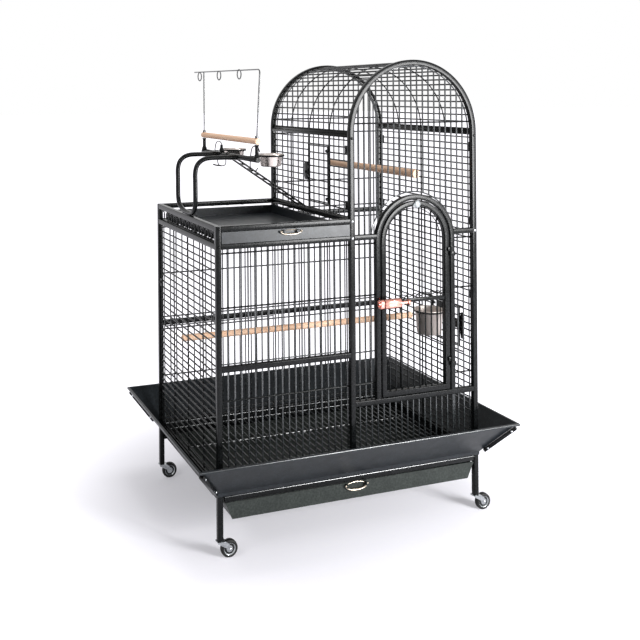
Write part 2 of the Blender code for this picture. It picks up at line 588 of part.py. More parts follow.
def turn_latch(name, x, outward, y, z, length):
    """Flat turn latch on a stud. It stands upright when free and lies across the door to lock it."""
    x0, x1 = sorted((x + outward * (WIRE / 2 + 0.0006), x + outward * (WIRE / 2 + 0.0046)))
    lever = plate([(y - 0.006, z - length * 0.45), (y + 0.006, z - length * 0.45), (y + 0.009, z - length * 0.1),
                   (y + 0.009, z + length * 0.35), (y + 0.004, z + length * 0.55), (y - 0.004, z + length * 0.55),
                   (y - 0.006, z + length * 0.2)], [], x1 - x0, "YZ", (x0 + x1) / 2)
    knob = cylinder(((x0 + x1) / 2 + outward * 0.004, y + 0.001, z), 0.0050, 0.012, "X", 8)
    piece(name, lever, POWDER_COAT, welded=[knob], origin=((x0 + x1) / 2, y + 0.001, z))


def small_doors(feeder, access):
    """The feeder door with its cup ring in the right wall and the access door in the dome's side."""
    z0, z1 = access[0] + 0.0015, access[1] - 0.0015
    small_door("side_door", MID_X, SIDE_DOOR_Y[0] + 0.0015, SIDE_DOOR_Y[1] - 0.0015, z0, z1, 8,
               SIDE_DOOR_Y[0] - 0.0015, -1)
    turn_latch("side_door_latch", MID_X, -1, SIDE_DOOR_Y[1] + 0.0125, (z0 + z1) / 2, 0.062)

    cx, cy, cz = FEEDER_CUP
    z0, z1 = feeder[0] + 0.0015, feeder[1] - 0.0015
    ring = turned([(0.0555, 0.086), (0.0555, 0.090), (0.0595, 0.090), (0.0595, 0.086)], FEEDER_CUP, "Z", 14)
    arms = []
    for y in (cy - 0.034, cy + 0.034):
        arms.append(box(cx + 0.047, RIGHT_X - 0.0035, y - 0.003, y + 0.003, cz + 0.0862, cz + 0.0898))
    arms.append(box(RIGHT_X - 0.0048, RIGHT_X - 0.0010, cy - 0.040, cy + 0.040, cz + 0.0840, z1 - 0.002))
    small_door("feeder_door", RIGHT_X, FEEDER_Y[0] + 0.0015, FEEDER_Y[1] - 0.0015, z0, z1, 5,
               FEEDER_Y[1] + 0.0015, 1, cup=[ring] + arms)
    turn_latch("feeder_door_latch", RIGHT_X, 1, FEEDER_Y[0] - 0.0155, (z0 + z1) / 2, 0.100)
    piece("feeder_cup", steel_cup(FEEDER_CUP, 0.0540, 0.095), STAINLESS, origin=FEEDER_CUP, smooth=True)


def steel_cup(foot, radius, height):
    """Deep drawn cup with a flat rim that hangs in its ring."""
    lip = radius + 0.0040
    wall = 0.0012
    outside = [(0.0002, 0), (radius - 0.008, 0), (radius - 0.001, height - 0.0035), (lip, height - 0.0035),
               (lip, height)]
    inside = [(radius - wall - 0.0012, height), (radius - wall - 0.0078, wall), (0.0002, wall)]
    return turned(outside + inside, foot, "Z", 14)


# ---------------------------------------------------------------- play top
def tray_meshes(x0, x1, taper, y0, y1, z0, z1, flange, sheet):
    """Block of a sliding tray with side flanges, and the tapered hollow that is taken out of it."""
    a0, a1 = x0 + flange, x1 - flange
    outside = [(x0, z1), (x0, z1 - sheet), (a0 - sheet, z1 - sheet), (a0 + taper - sheet, z0),
               (a1 - taper + sheet, z0), (a1 + sheet, z1 - sheet), (x1, z1 - sheet), (x1, z1)]
    inside = [(a0, z1 + 0.01), (a0, z1 - sheet), (a0 + taper, z0 + sheet), (a1 - taper, z0 + sheet),
              (a1, z1 - sheet), (a1, z1 + 0.01)]
    middle = (y0 + y1) / 2
    return plate(outside, [], y1 - y0, "XZ", middle), plate(inside, [], y1 - y0 - 2 * sheet, "XZ", middle)


def bail(name, x, y, z, half, drop, look):
    """Drop handle that hangs from two eyes and swings up about them."""
    path = [(x - half + 0.013, y, z), (x - half + 0.0045, y, z)]
    path += [(x - half * math.cos(a), y, z - drop * math.sin(a)) for a in
             [math.radians(14 + 152 * i / 8) for i in range(9)]]
    path += [(x + half - 0.0045, y, z), (x + half - 0.013, y, z)]
    piece(name, tube(path, 0.0026, 6), look, origin=(x, y, z), smooth=True)


def eyes(x, y, z, half, face):
    """Two drilled lugs that carry a bail, standing on the tray's face."""
    made = []
    for side in (-1, 1):
        lug = [(y - 0.0062, z - 0.006), (face + 0.001, z - 0.006), (face + 0.001, z + 0.006), (y - 0.0062, z + 0.006)]
        bore = [(y - 0.0036, z - 0.0036), (y + 0.0036, z - 0.0036), (y + 0.0036, z + 0.0036), (y - 0.0036, z + 0.0036)]
        made.append(plate(lug, [bore], 0.005, "YZ", x + side * (half - 0.010)))
    return made


def play_top():
    """Sliding tray, scroll band and play stand."""
    x0, x1 = LEFT_X + HALF + 0.001, MID_X - HALF - 0.001
    z0, z1 = LOWER_RAIL_Z + HALF + 0.0005, RIM_RAIL_Z - HALF - 0.001
    body, hollow = tray_meshes(x0 + 0.0005, x1 - 0.0005, 0.002, FRONT_Y - HALF + 0.010, 0.300,
                               z0 + 0.0005, z1 - 0.004, 0.010, 0.0015)
    face_y = FRONT_Y - HALF
    face = box(x0, x1, face_y, face_y + 0.0112, z0, z1)
    bail_y, bail_z = face_y - 0.0075, z0 + 0.030
    piece("playtop_tray", body, SHEET, welded=[face] + eyes(-0.2465, bail_y, bail_z, 0.036, face_y), cut=[hollow])
    bail("tray_handle", -0.2465, bail_y, bail_z, 0.036, 0.026, NICKEL)

    # The scroll band is a frame of three bays, each with two C scrolls back to back.
    y0, y1 = FRONT_Y + HALF + 0.0090, BACK_Y - HALF - 0.0090
    low, high = LOWER_RAIL_Z + HALF + GAP, RIM_RAIL_Z - HALF - GAP
    bay = (y1 - y0 - 0.003) / 3
    holes = [rectangle(y0 + 0.003 + i * bay, y0 + (i + 1) * bay, low + 0.0025, high - 0.0025) for i in range(3)]
    frame = plate(rectangle(y0, y1, low, high), holes, 0.006, "YZ", LEFT_X)
    scrolls = []
    reach = (high - low) / 2 - 0.0015
    centre = (low + high) / 2
    for i in range(3):
        middle = y0 + 0.0015 + (i + 0.5) * bay
        for side in (-1, 1):
            path = []
            for k in range(9):
                swing = math.radians(-190 + 380 * k / 8)
                pull = 1 - 0.55 * (abs(k - 4) / 4) ** 2.2
                path.append((LEFT_X, middle + side * (0.050 - 0.048 * pull * math.cos(swing)),
                             centre + reach * pull * math.sin(swing)))
            scrolls.append(tube(path, 0.0024, 4))
    piece("scroll_band", frame, POWDER_COAT, welded=scrolls)


def play_stand():
    """A tube bent into a U on the left rim carries a cross bar, the upper perch, a toy hook and the cups."""
    bar_x, bar_z = STAND_BAR
    rim = RIM_RAIL_Z + HALF + GAP
    arm = [(bar_x, bar_z), (LEFT_X + 0.058, bar_z), (LEFT_X + 0.020, 1.3175), (LEFT_X + 0.005, 1.298),
           (LEFT_X, 1.268)]
    run = [(0.0915, 1.180), (0.078, 1.147), (0.045, 1.1295), (0.0, 1.1252), (-0.045, 1.1252), (-0.085, 1.137),
           (-0.1025, 1.172)]
    path = [(x, 0.0915, z) for x, z in arm] + [(LEFT_X, y, z) for y, z in run]
    path += [(x, -0.1025, z) for x, z in reversed(arm)]
    legs = tube(path, STAND_TUBE_R * 0.9, 6)
    foot = box(LEFT_X - 0.0092, LEFT_X + 0.0092, -0.062, 0.022, rim, rim + 0.004)
    bar = tube([(bar_x, -STAND_END_Y - 0.012, bar_z), (bar_x, STAND_END_Y + 0.012, bar_z)], STAND_TUBE_R, 8)
    posts = [box(bar_x - 0.006, bar_x + 0.006, side * STAND_END_Y - 0.007, side * STAND_END_Y + 0.007,
                 bar_z, PERCH_Z - PERCH_R - 0.0012) for side in (-1, 1)]
    rings = []
    for cx, cy in STAND_CUPS:
        rings.append(turned([(0.0465, 0.0365), (0.0465, 0.0405), (0.0505, 0.0405), (0.0505, 0.0365)],
                            (cx, cy, 1.298), "Z", 12))
        rings.append(box(bar_x, cx - 0.0480, cy - 0.005, cy + 0.005, 1.3348, 1.3382))
    piece("play_stand", bar, POWDER_COAT, welded=[legs, foot] + posts + rings, smooth=True)
    for name, (cx, cy) in zip(("playtop_cup_front", "playtop_cup_back"), STAND_CUPS):
        foot_at = (cx, cy, 1.298)
        piece(name, steel_cup(foot_at, 0.0450, 0.0450), STAINLESS, origin=foot_at, smooth=True)

    dowel = cylinder((bar_x, 0, PERCH_Z), PERCH_R, 2 * STAND_END_Y + 0.024, "Y", 12)
    sockets = [cylinder((bar_x, side * STAND_END_Y, PERCH_Z + 0.0105), 0.0035, 0.020, "Z", 8) for side in (-1, 1)]
    piece("stand_perch", dowel, DOWEL, cut=sockets, smooth=True)

    top = 1.640
    hook = [(bar_x, -STAND_END_Y, PERCH_Z + 0.0015), (bar_x, -STAND_END_Y, 1.590),
            (bar_x - 0.007, -STAND_END_Y, 1.614), (bar_x - 0.024, -STAND_END_Y, top - 0.009),
            (bar_x - 0.042, -STAND_END_Y + 0.004, top), (bar_x - 0.050, -STAND_END_Y + 0.024, top)]
    loops = []
    for y in (-0.120, 0.0, 0.120):
        loops += [(bar_x - 0.050, y - 0.018, top), (bar_x - 0.050, y - 0.010, top - 0.020),
                  (bar_x - 0.050, y, top - 0.029), (bar_x - 0.050, y + 0.010, top - 0.020),
                  (bar_x - 0.050, y + 0.018, top)]
    other = [(x, -y, z) for x, y, z in reversed(hook)]
    piece("toy_hook", tube(hook + loops + other, 0.0024, 4), POWDER_COAT)


def ladder():
    """Ladder that hooks over the cross bar and leans to the access door."""
    bar_x, bar_z = STAND_BAR
    foot = Vector((MID_X - HALF - 0.006, 0, RIM_RAIL_Z + HALF + 0.006))
    start = Vector((bar_x + 0.030, 0, bar_z - 0.012))
    length = (foot - start).length
    half, count, rail = 0.0375, 9, 0.005
    step = (length - 0.024) / count
    rungs = [rectangle(0.014 + i * step, 0.014 + (i + 1) * step - WIRE, rail - half, half - rail)
             for i in range(count)]
    flat = plate(rectangle(0, length, -half, half), rungs, WIRE, "XY", 0)
    lean = math.atan2(start.z - foot.z, foot.x - start.x)
    flat.transform(Matrix.Translation(start) @ Matrix.Rotation(lean, 4, "Y"))
    flat.transform(Matrix.Translation((0, LADDER_Y, 0)))
    hooks = []
    for y in (LADDER_Y - half + 0.0025, LADDER_Y + half - 0.0025):
        path = [(x, y, z) for x, z in arc(bar_x, bar_z, 0.0145, 195, 15, 5)]
        hooks.append(tube(path + [(bar_x + 0.036, y, bar_z - 0.0158)], 0.0022, 4))
    piece("ladder", flat, POWDER_COAT, welded=hooks, origin=(bar_x, 0, bar_z))


def perches():
    """Dowel perches inside the cage, grooved near one end to sit on the wires."""
    ends = INNER_Y - 2 * GAP - WIRE - 0.0005
    upper = turned([(0.0001, -ends), (0.0125, -ends), (0.0125, -ends + 0.012), (0.0100, -ends + 0.014),
                    (0.0100, -ends + 0.019), (0.0125, -ends + 0.021), (0.0125, ends), (0.0001, ends)],
                   (DOOR_X, 0, 1.263), "Y", 12)
    piece("upper_perch", upper, DOWEL, smooth=True)
    reach = RIGHT_X - 0.0068
    lower = turned([(0.0001, -reach), (0.0125, -reach), (0.0125, reach - 0.029), (0.0100, reach - 0.027),
                    (0.0100, reach - 0.022), (0.0125, reach - 0.020), (0.0125, reach), (0.0001, reach)],
                   (0, 0.075, 0.634), "X", 12)
    piece("lower_perch", lower, DOWEL, smooth=True)


# ---------------------------------------------------------------- base
def base():
    """Floor grate and debris pan that slide out under the skirt."""
    z = GRATE_Z
    x0, x1 = LEFT_X + HALF + 0.004, RIGHT_X - HALF - 0.004
    y0, y1 = FRONT_Y - HALF + 0.003, BACK_Y - HALF - 0.008
    count = 24
    step = (y1 - y0 - 0.018 + WIRE) / count
    gaps = []
    for i in range(count):
        a = y0 + 0.012 + i * step
        gaps.append(rectangle(x0 + 0.006, x1 - 0.006, a, a + step - WIRE))
    grate = plate(rectangle(x0, x1, y0, y1), gaps, WIRE, "XY", z)
    bar = box(x0 + 0.0005, x1 - 0.0005, y0 - 0.0040, y0 + 0.0060, 0.1895, 0.2080)
    piece("floor_grate", grate, POWDER_COAT, welded=[bar])

    low, high = PAN_Z
    body, hollow = tray_meshes(-PAN_HALF_X + 0.002, PAN_HALF_X - 0.002, PAN_TAPER - 0.009, FRONT_Y - HALF + 0.001,
                               0.300, low, 0.1820, 0.011, 0.0015)
    face_y = FRONT_Y - HALF - 0.0015
    face = plate([(-PAN_HALF_X, high), (-PAN_HALF_X + PAN_TAPER, low - 0.0005), (PAN_HALF_X - PAN_TAPER, low - 0.0005),
                  (PAN_HALF_X, high)], [], 0.003, "XZ", face_y + 0.0015)
    bail_y, bail_z = face_y - 0.0075, high - 0.008
    piece("debris_pan", body, SHEET, welded=[face] + eyes(0, bail_y, bail_z, 0.048, face_y), cut=[hollow])
    bail("pan_handle", 0, bail_y, bail_z, 0.048, 0.036, NICKEL)


def skirts():
    """Four sloped seed guards with rolled top edges, mitred at the corners and strapped together."""
    sheet = SKIRT_SHEET
    foot_z = SKIRT_FOOT_Z
    slope = Vector((SKIRT_RUN, SKIRT_RISE)).normalized()
    side = Vector((slope.y, -slope.x))
    knee = Vector((sheet, foot_z + 0.012))
    lip = Vector((SKIRT_RUN, foot_z + SKIRT_RISE + 0.012))
    inner = [Vector((0, foot_z)), Vector((0, knee.y + 0.001)), lip - side * sheet + Vector((0, 0.001)),
             lip + Vector((0.007, 0.001))]
    outer = [lip + Vector((0.0075, -0.006)), lip + Vector((0.006, -0.006)), lip + Vector((0.0055, -0.001)),
             lip + side * 0.0002, knee + side * 0.0006, Vector((sheet, foot_z))]
    section = [(p.x, p.y) for p in inner + outer]

    def panel(name, half, out, turns):
        mesh = plate(section, [], 2, "YZ", 0)
        for vert in mesh.vertices:
            end = 1 if vert.co.x > 0 else -1
            outward = vert.co.y
            vert.co = (end * (half + outward - 0.0006), -(out + outward), vert.co.z)
        mesh.transform(Matrix.Rotation(turns * math.pi / 2, 4, "Z"))
        mesh.flip_normals()
        piece(name, mesh, SHEET)

    half_x, half_y = RIGHT_X + HALF + GAP, BACK_Y + HALF + GAP
    panel("skirt_front", half_x, half_y, 0)
    panel("skirt_right", half_y, half_x, 1)
    panel("skirt_back", half_x, half_y, 2)
    panel("skirt_left", half_y, half_x, 3)

    # A folded strap covers each mitre from the foot to the lip.
    for sx, sy, name in ((-1, -1, "front_left"), (1, -1, "front_right"), (1, 1, "back_right"), (-1, 1, "back_left")):
        low = Vector((sx * (half_x + 0.012), sy * (half_y + 0.012), foot_z + 0.022))
        high = Vector((sx * (half_x + SKIRT_RUN - 0.004), sy * (half_y + SKIRT_RUN - 0.004),
                       foot_z + SKIRT_RISE + 0.002))
        away = Vector((sx * 0.482, sy * 0.482, -0.732)) * 0.0072
        strap = tube([low + away, high + away], 0.0050, 6)
        piece(f"skirt_strap_{name}", strap, POWDER_COAT)


# ---------------------------------------------------------------- casters
def casters():
    """Swivel casters: a forked hood that turns under the leg and a wheel on its axle."""
    for name, x, y in (("front_left", LEFT_X, FRONT_Y), ("front_right", RIGHT_X, FRONT_Y),
                       ("back_left", LEFT_X, BACK_Y), ("back_right", RIGHT_X, BACK_Y)):
        hub_x, hub_z = x + CASTER_TRAIL, WHEEL_R
        outline = [(x - 0.012, 0.0585), (x - 0.012, 0.0535), (hub_x - 0.010, hub_z - 0.004),
                   (hub_x - 0.004, hub_z - 0.010), (hub_x + 0.004, hub_z - 0.010), (hub_x + 0.010, hub_z - 0.003),
                   (hub_x + 0.009, hub_z + 0.006), (x + 0.010, 0.0585)]
        gap = WHEEL_W / 2 + 0.0012
        cheeks = [plate(outline, [], 0.002, "XZ", y + side * (gap + 0.001)) for side in (-1, 1)]
        hood = box(x - 0.0115, x + 0.0085, y - gap - 0.0015, y + gap + 0.0015, 0.0545, 0.0582)
        stem = cylinder((x, y, (0.0570 + LEG_BOTTOM_Z - GAP) / 2), 0.0075, LEG_BOTTOM_Z - GAP - 0.0570, "Z", 8)
        piece(f"caster_fork_{name}", hood, GALVANISED, welded=cheeks + [stem], origin=(x, y, LEG_BOTTOM_Z))
        half = WHEEL_W / 2
        profile = [(0.0001, -gap + 0.0004), (0.0060, -gap + 0.0004), (0.0060, -half + 0.0010),
                   (WHEEL_R - 0.004, -half), (WHEEL_R, -half + 0.005), (WHEEL_R, half - 0.005),
                   (WHEEL_R - 0.004, half), (0.0060, half - 0.0010), (0.0060, gap - 0.0004), (0.0001, gap - 0.0004)]
        wheel = turned(profile, (hub_x, y, hub_z), "Y", 12)
        piece(f"caster_wheel_{name}", wheel, RUBBER, origin=(hub_x, y, hub_z), smooth=True)


front_frame()
back_frame()
dome_frame()
side_frames()
bar_panels()
feeder_opening, access_opening = wire_panels()
roof_wires()
main_door()
small_doors(feeder_opening, access_opening)
play_top()
play_stand()
ladder()
perches()
base()
skirts()
casters()
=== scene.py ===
"""Play top bird cage on casters: the looks of every piece, in metres, +Z up, the front at -Y."""

import math

import bmesh
import bpy
import numpy as np
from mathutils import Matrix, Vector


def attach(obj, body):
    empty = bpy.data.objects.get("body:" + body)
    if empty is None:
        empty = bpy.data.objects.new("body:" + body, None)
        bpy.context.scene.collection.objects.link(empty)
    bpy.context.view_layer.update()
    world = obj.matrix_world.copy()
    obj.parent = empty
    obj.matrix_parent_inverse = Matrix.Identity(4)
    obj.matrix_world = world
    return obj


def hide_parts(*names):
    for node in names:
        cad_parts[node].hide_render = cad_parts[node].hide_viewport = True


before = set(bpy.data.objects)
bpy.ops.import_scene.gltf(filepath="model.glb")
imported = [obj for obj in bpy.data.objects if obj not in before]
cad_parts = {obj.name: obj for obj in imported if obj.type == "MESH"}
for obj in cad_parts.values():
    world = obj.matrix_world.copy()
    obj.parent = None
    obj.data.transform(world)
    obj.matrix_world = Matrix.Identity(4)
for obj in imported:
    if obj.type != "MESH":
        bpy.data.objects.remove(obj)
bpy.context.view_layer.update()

# Front frame
# Flat weldment of 19 mm square steel tube with rounded edges: two legs, the middle post, the rails and the
# arched jamb round the main door. It is powder coated in one go after welding, so no joint shows bare metal.
TUBE, EDGE_R, WIRE_R = 0.019, 0.0024, 0.0029
HALF = TUBE / 2
LEFT_X, MID_X, RIGHT_X = -0.512, -0.004, 0.512
FRONT_Y, BACK_Y = -0.3225, 0.3225
FOOT_Z, BASE_Z, SILL_Z, HALFWAY_Z = 0.06, 0.2255, 0.456, 0.632
LOWER_Z, RIM_Z, SPRING_Z = 1.0465, 1.1065, 1.414
LEFT_BAY, RIGHT_BAY = (LEFT_X + HALF, MID_X - HALF), (MID_X + HALF, RIGHT_X - HALF)
BOTH_BAYS = (LEFT_X + HALF, RIGHT_X - HALF)
DOOR_X, DOOR_ARCH_Z, JAMB_R = 0.257, 1.024, 0.15725
JAMB_LEFT, JAMB_RIGHT = DOOR_X - JAMB_R - 0.00925, DOOR_X + JAMB_R + 0.00925
# The stiffening rods lie this far inside the middle of the tubes.
ROD_IN = HALF - 0.0025
# Radius in millimetres of the last ring where a turned profile meets its axis.
TIP = 0.2


def linear(code):
    """Linear colour of an sRGB hex code, by the two-part curve of the standard."""
    share = np.array([int(code[i:i + 2], 16) for i in (1, 3, 5)]) / 255
    return (*np.where(share <= 0.04045, share / 12.92, ((share + 0.055) / 1.055) ** 2.4), 1.0)


def node(tree, kind, sockets=None, **settings):
    """Adds a node with its settings, and fills its sockets with numbers, sockets or nodes' first outputs."""
    made = tree.nodes.new("ShaderNode" + kind)
    for name, value in settings.items():
        setattr(made, name, value)
    for name, value in (sockets or {}).items():
        if isinstance(value, bpy.types.Node):
            value = value.outputs[0]
        if isinstance(value, bpy.types.NodeSocket):
            tree.links.new(value, made.inputs[name])
        else:
            made.inputs[name].default_value = value
    return made


def finish(name, coat, **settings):
    """Material of one Principled shader. coat gets the tree and the place in object coordinates, and returns
    the sockets for the colour, the roughness and, where there is one, the normal."""
    made = bpy.data.materials.new(name)
    made.use_nodes = True
    tree = made.node_tree
    shader = tree.nodes["Principled BSDF"]
    for socket, value in settings.items():
        shader.inputs[socket.replace("_", " ")].default_value = value
    place = node(tree, "TexCoord").outputs["Object"]
    for socket, source in zip(("Base Color", "Roughness", "Normal"), coat(tree, place)):
        tree.links.new(source, shader.inputs[socket])
    return made


def blended(tree, factor, low, high):
    """Colour between two sRGB codes, by a factor from 0 to 1."""
    return node(tree, "Mix", {0: factor, 6: linear(low), 7: linear(high)}, data_type="RGBA").outputs[2]


def hammertone(name, dark, light, dimple, depth, gloss, shine, flake=0.05):
    """Hammertone powder coat: aluminium flake in a black gloss that draws into small dimples as it bakes.
    The colour follows slow clouds times the distance from a dimple's middle, and the roughness a haze."""
    def coat(tree, place):
        cloud = node(tree, "TexNoise", {"Vector": place, "Scale": 1 / 0.055, "Detail": 4.0,
                                        "Roughness": 0.6})
        dents = node(tree, "TexVoronoi", {"Vector": place, "Scale": 1 / dimple}, feature="SMOOTH_F1")
        both = node(tree, "Math", {0: cloud, 1: dents}, operation="MULTIPLY")
        share = node(tree, "MapRange", {"Value": both, "From Min": 0.08, "From Max": 0.42})
        haze = node(tree, "TexNoise", {"Vector": place, "Scale": 1 / 0.03, "Detail": 3.0})
        rough = node(tree, "MapRange", {"Value": haze, "To Min": gloss - 0.07, "To Max": gloss + 0.09})
        bump = node(tree, "Bump", {"Height": dents, "Strength": 0.5, "Distance": depth})
        return blended(tree, share, dark, light), rough.outputs[0], bump.outputs[0]

    return finish(name, coat, Metallic=flake, Specular_IOR_Level=shine)


def rounded(width, depth, corner, steps=3):
    """Rounded rectangle: a quarter circle of points about the centre of each corner."""
    turn = np.linspace(0, math.pi / 2, steps + 1) + np.arange(4)[:, None] * math.pi / 2
    side = np.array([(1, 1), (-1, 1), (-1, -1), (1, -1)])[:, None] * (width / 2 - corner, depth / 2 - corner)
    return (side + corner * np.stack([np.cos(turn), np.sin(turn)], -1)).reshape(-1, 2)


def circle(radius, sides=8):
    """Points evenly round a circle."""
    turn = np.arange(sides) * 2 * math.pi / sides
    return radius * np.stack([np.cos(turn), np.sin(turn)], 1)


def unit(vectors):
    """Vectors at length one."""
    return vectors / np.linalg.norm(vectors, axis=-1, keepdims=True)


def carried(paths, section, across=(0.53, 0.62, 0.58), swell=1.0, closed=False):
    """Carries a section along paths (copies, points, 3). Each ring is the section square to the run before
    its point, slid along that run onto the plane that halves the bend. swell scales it, ring by ring."""
    paths = np.asarray(paths, float)
    paths = paths[None] if paths.ndim == 2 else paths
    if closed:
        after = unit(np.roll(paths, -1, 1) - paths)
        before = np.roll(after, 1, 1)
    else:
        legs = unit(np.diff(paths, axis=1))
        before = np.concatenate([legs[:, :1], legs], 1)
        after = np.concatenate([legs, legs[:, -1:]], 1)
    half = unit(before + after)
    side = unit(np.array(across) - before * (before @ np.array(across))[..., None])
    other = np.cross(before, side)
    spread = np.broadcast_to(swell, paths.shape[1])[None, :, None, None]
    offset = spread * (side[:, :, None] * section[:, :1] + other[:, :, None] * section[:, 1:])
    slide = (offset * half[:, :, None]).sum(-1) / (before * half).sum(-1)[..., None]
    return paths[:, :, None] + offset - slide[..., None] * before[:, :, None]


def skin(rings, closed=False):
    """Faces over rings of points (copies, rings, sides, 3): quads from ring to ring, and a polygon over the
    first and last ring of each copy unless the rings close on themselves. Returns points and face arrays."""
    at = np.arange(rings[..., 0].size).reshape(rings.shape[:3])
    low, high = (at, np.roll(at, -1, 1)) if closed else (at[:, :-1], at[:, 1:])
    quads = np.stack([low, np.roll(low, -1, 2), np.roll(high, -1, 2), high], -1).reshape(-1, 4)
    return rings.reshape(-1, 3), [quads] if closed else [quads, at[:, 0, ::-1], at[:, -1]]


def wire(path, radius=0.0022, sides=8, across=(0.53, 0.62, 0.58), swell=1.0, closed=False):
    """Round wire: a circle carried along the path."""
    return skin(carried(path, circle(radius, sides), across, swell, closed), closed)


def runs(x, y, z):
    """Straight runs (copies, 2, 3). x, y and z are each a (start, end) tuple where they change along a run,
    and each value is a number, or a list or array with one value a run."""
    pairs = [value if isinstance(value, tuple) else (value, value) for value in (x, y, z)]
    ends = np.broadcast_arrays(*(np.atleast_1d(value) for end in zip(*pairs) for value in end))
    return np.stack(ends, -1).reshape(-1, 2, 3)


def rods(x, y, z, radius=WIRE_R, sides=8):
    """Straight round rods, placed as runs are."""
    return wire(runs(x, y, z), radius, sides)


def tubes(*paths, across=(0, 1, 0), section=rounded(TUBE, TUBE, EDGE_R)):
    """Square tubes along paths, one part for each."""
    return [skin(carried(path, section, across)) for path in paths]


def block(low, high, corner=0.0012, along=2):
    """Solid block between opposite corners, with a rounded section and two chamfered ends."""
    low, high = np.sort([low, high], 0)
    middle, size = (low + high) / 2, high - low
    first, second = [i for i in range(3) if i != along]
    path = np.tile(middle, (4, 1))
    path[:, along] = low[along], low[along] + corner, high[along] - corner, high[along]
    chamfer = 1 - 1.2 * corner / max(size[first], size[second])
    section = rounded(size[first], size[second], min(corner, size[first] / 2.1, size[second] / 2.1), 2)
    turn = 1 if along != 1 else -1
    return skin(carried(path, section * (1, turn), np.eye(3)[first], np.array([chamfer, 1, 1, chamfer])))


def arch(x, z, radius, y, start=180, end=0, steps=48):
    """Points along an arc in an upright plane, angles in degrees from +X."""
    turn = np.radians(np.linspace(start, end, steps + 1))
    return np.stack([x + radius * np.cos(turn), np.full(steps + 1, y), z + radius * np.sin(turn)], 1)


def archway(x, z, radius, y, low):
    """Path up from a low level, over half a circle and down again."""
    return np.concatenate([[(x - radius, y, low)], arch(x, z, radius, y), [(x + radius, y, low)]])


def turned(profile, centre, axis=(0, 0, 1), sides=24, closed=False):
    """Surface of revolution: each (radius, height) of the profile, in millimetres, is a ring about the axis
    through the centre."""
    radius, height = np.array(profile).T[:, :, None, None] / 1000
    axis = unit(np.array(axis, float))
    side = unit(np.cross(axis, (0.3, 0.5, 0.81)))
    turn = circle(1, sides)
    round_it = turn[:, :1] * side + turn[:, 1:] * np.cross(axis, side)
    return skin((np.array(centre) + height * axis + radius * round_it)[None], closed)


def piece(name, parts, look, replaces=None, body="cage"):
    """Joins parts into one object on a body. Faces turn outwards, and bends over 42 degrees stay crisp."""
    points, faces, start = [], [], 0
    for at, groups in parts:
        points.append(at)
        for group in groups:
            faces += (group + start).tolist()
        start += len(at)
    mesh = bpy.data.meshes.new(name)
    mesh.from_pydata(np.concatenate(points).tolist(), [], faces)
    work = bmesh.new()
    work.from_mesh(mesh)
    bmesh.ops.recalc_face_normals(work, faces=work.faces)
    work.to_mesh(mesh)
    work.free()
    mesh.shade_smooth()
    mesh.set_sharp_from_angle(angle=math.radians(42))
    mesh.materials.append(look)
    made = bpy.data.objects.new(name, mesh)
    bpy.context.scene.collection.objects.link(made)
    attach(made, body)
    if replaces:
        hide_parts(replaces)


# The dimples are 2 mm across on the real coat and are drawn at 5 mm, or the picture would lose them.
POWDER_COAT = hammertone("hammertone_powder_coat", "#060707", "#191b1c", 0.005, 0.0002, 0.2, 0.13, 0.03)


def legs_and_rails(y, middle_foot):
    """Tubes that the front and the back frame share. The middle post starts at middle_foot."""
    return tubes(runs(LEFT_X, y, (FOOT_Z, RIM_Z + HALF)), runs(MID_X, y, (middle_foot, SPRING_Z)),
                 runs(RIGHT_X, y, (FOOT_Z, SPRING_Z)), runs(BOTH_BAYS, y, BASE_Z),
                 runs(LEFT_BAY, y, [LOWER_Z, RIM_Z]))


rod_y, rod_z = FRONT_Y + ROD_IN, [0.252, 0.52, 0.836, 1.021]
front = legs_and_rails(FRONT_Y, BASE_Z + HALF)
front += tubes(runs(LEFT_BAY, FRONT_Y, HALFWAY_Z), runs(RIGHT_BAY, FRONT_Y, SILL_Z),
               runs((RIGHT_BAY[0], JAMB_LEFT + 0.003), FRONT_Y, LOWER_Z),
               runs((JAMB_RIGHT - 0.003, RIGHT_BAY[1]), FRONT_Y, LOWER_Z))
front += tubes(archway(DOOR_X, DOOR_ARCH_Z, JAMB_R, FRONT_Y, SILL_Z + HALF),
               section=rounded(TUBE, 0.0185, EDGE_R))
front += [rods((LEFT_X, MID_X), rod_y, rod_z), rods((MID_X, RIGHT_X), rod_y, rod_z[0]),
          rods((MID_X, JAMB_LEFT + 0.004), rod_y, rod_z[1:]),
          rods((JAMB_RIGHT - 0.004, RIGHT_X), rod_y, rod_z[1:])]

# Lower halves of the two butt hinges, welded to the jamb.
HINGE_X, HINGE_Y, HINGES_Z = 0.4028, -0.3365, (0.57, 0.975)
for hinge_z in HINGES_Z:
    front.append(turned([(TIP, -16.2), (3.8, -16.2), (4.5, -15.5), (4.5, -1), (4, -0.5), (TIP, -0.5)],
                        (HINGE_X, HINGE_Y, hinge_z)))
    front.append(block((HINGE_X + 0.001, HINGE_Y - 0.0015, hinge_z - 0.016),
                       (JAMB_RIGHT - 0.001, HINGE_Y + 0.0048, hinge_z - 0.001), 0.0008))
piece("front_frame_tubes", front, POWDER_COAT, "front_frame")

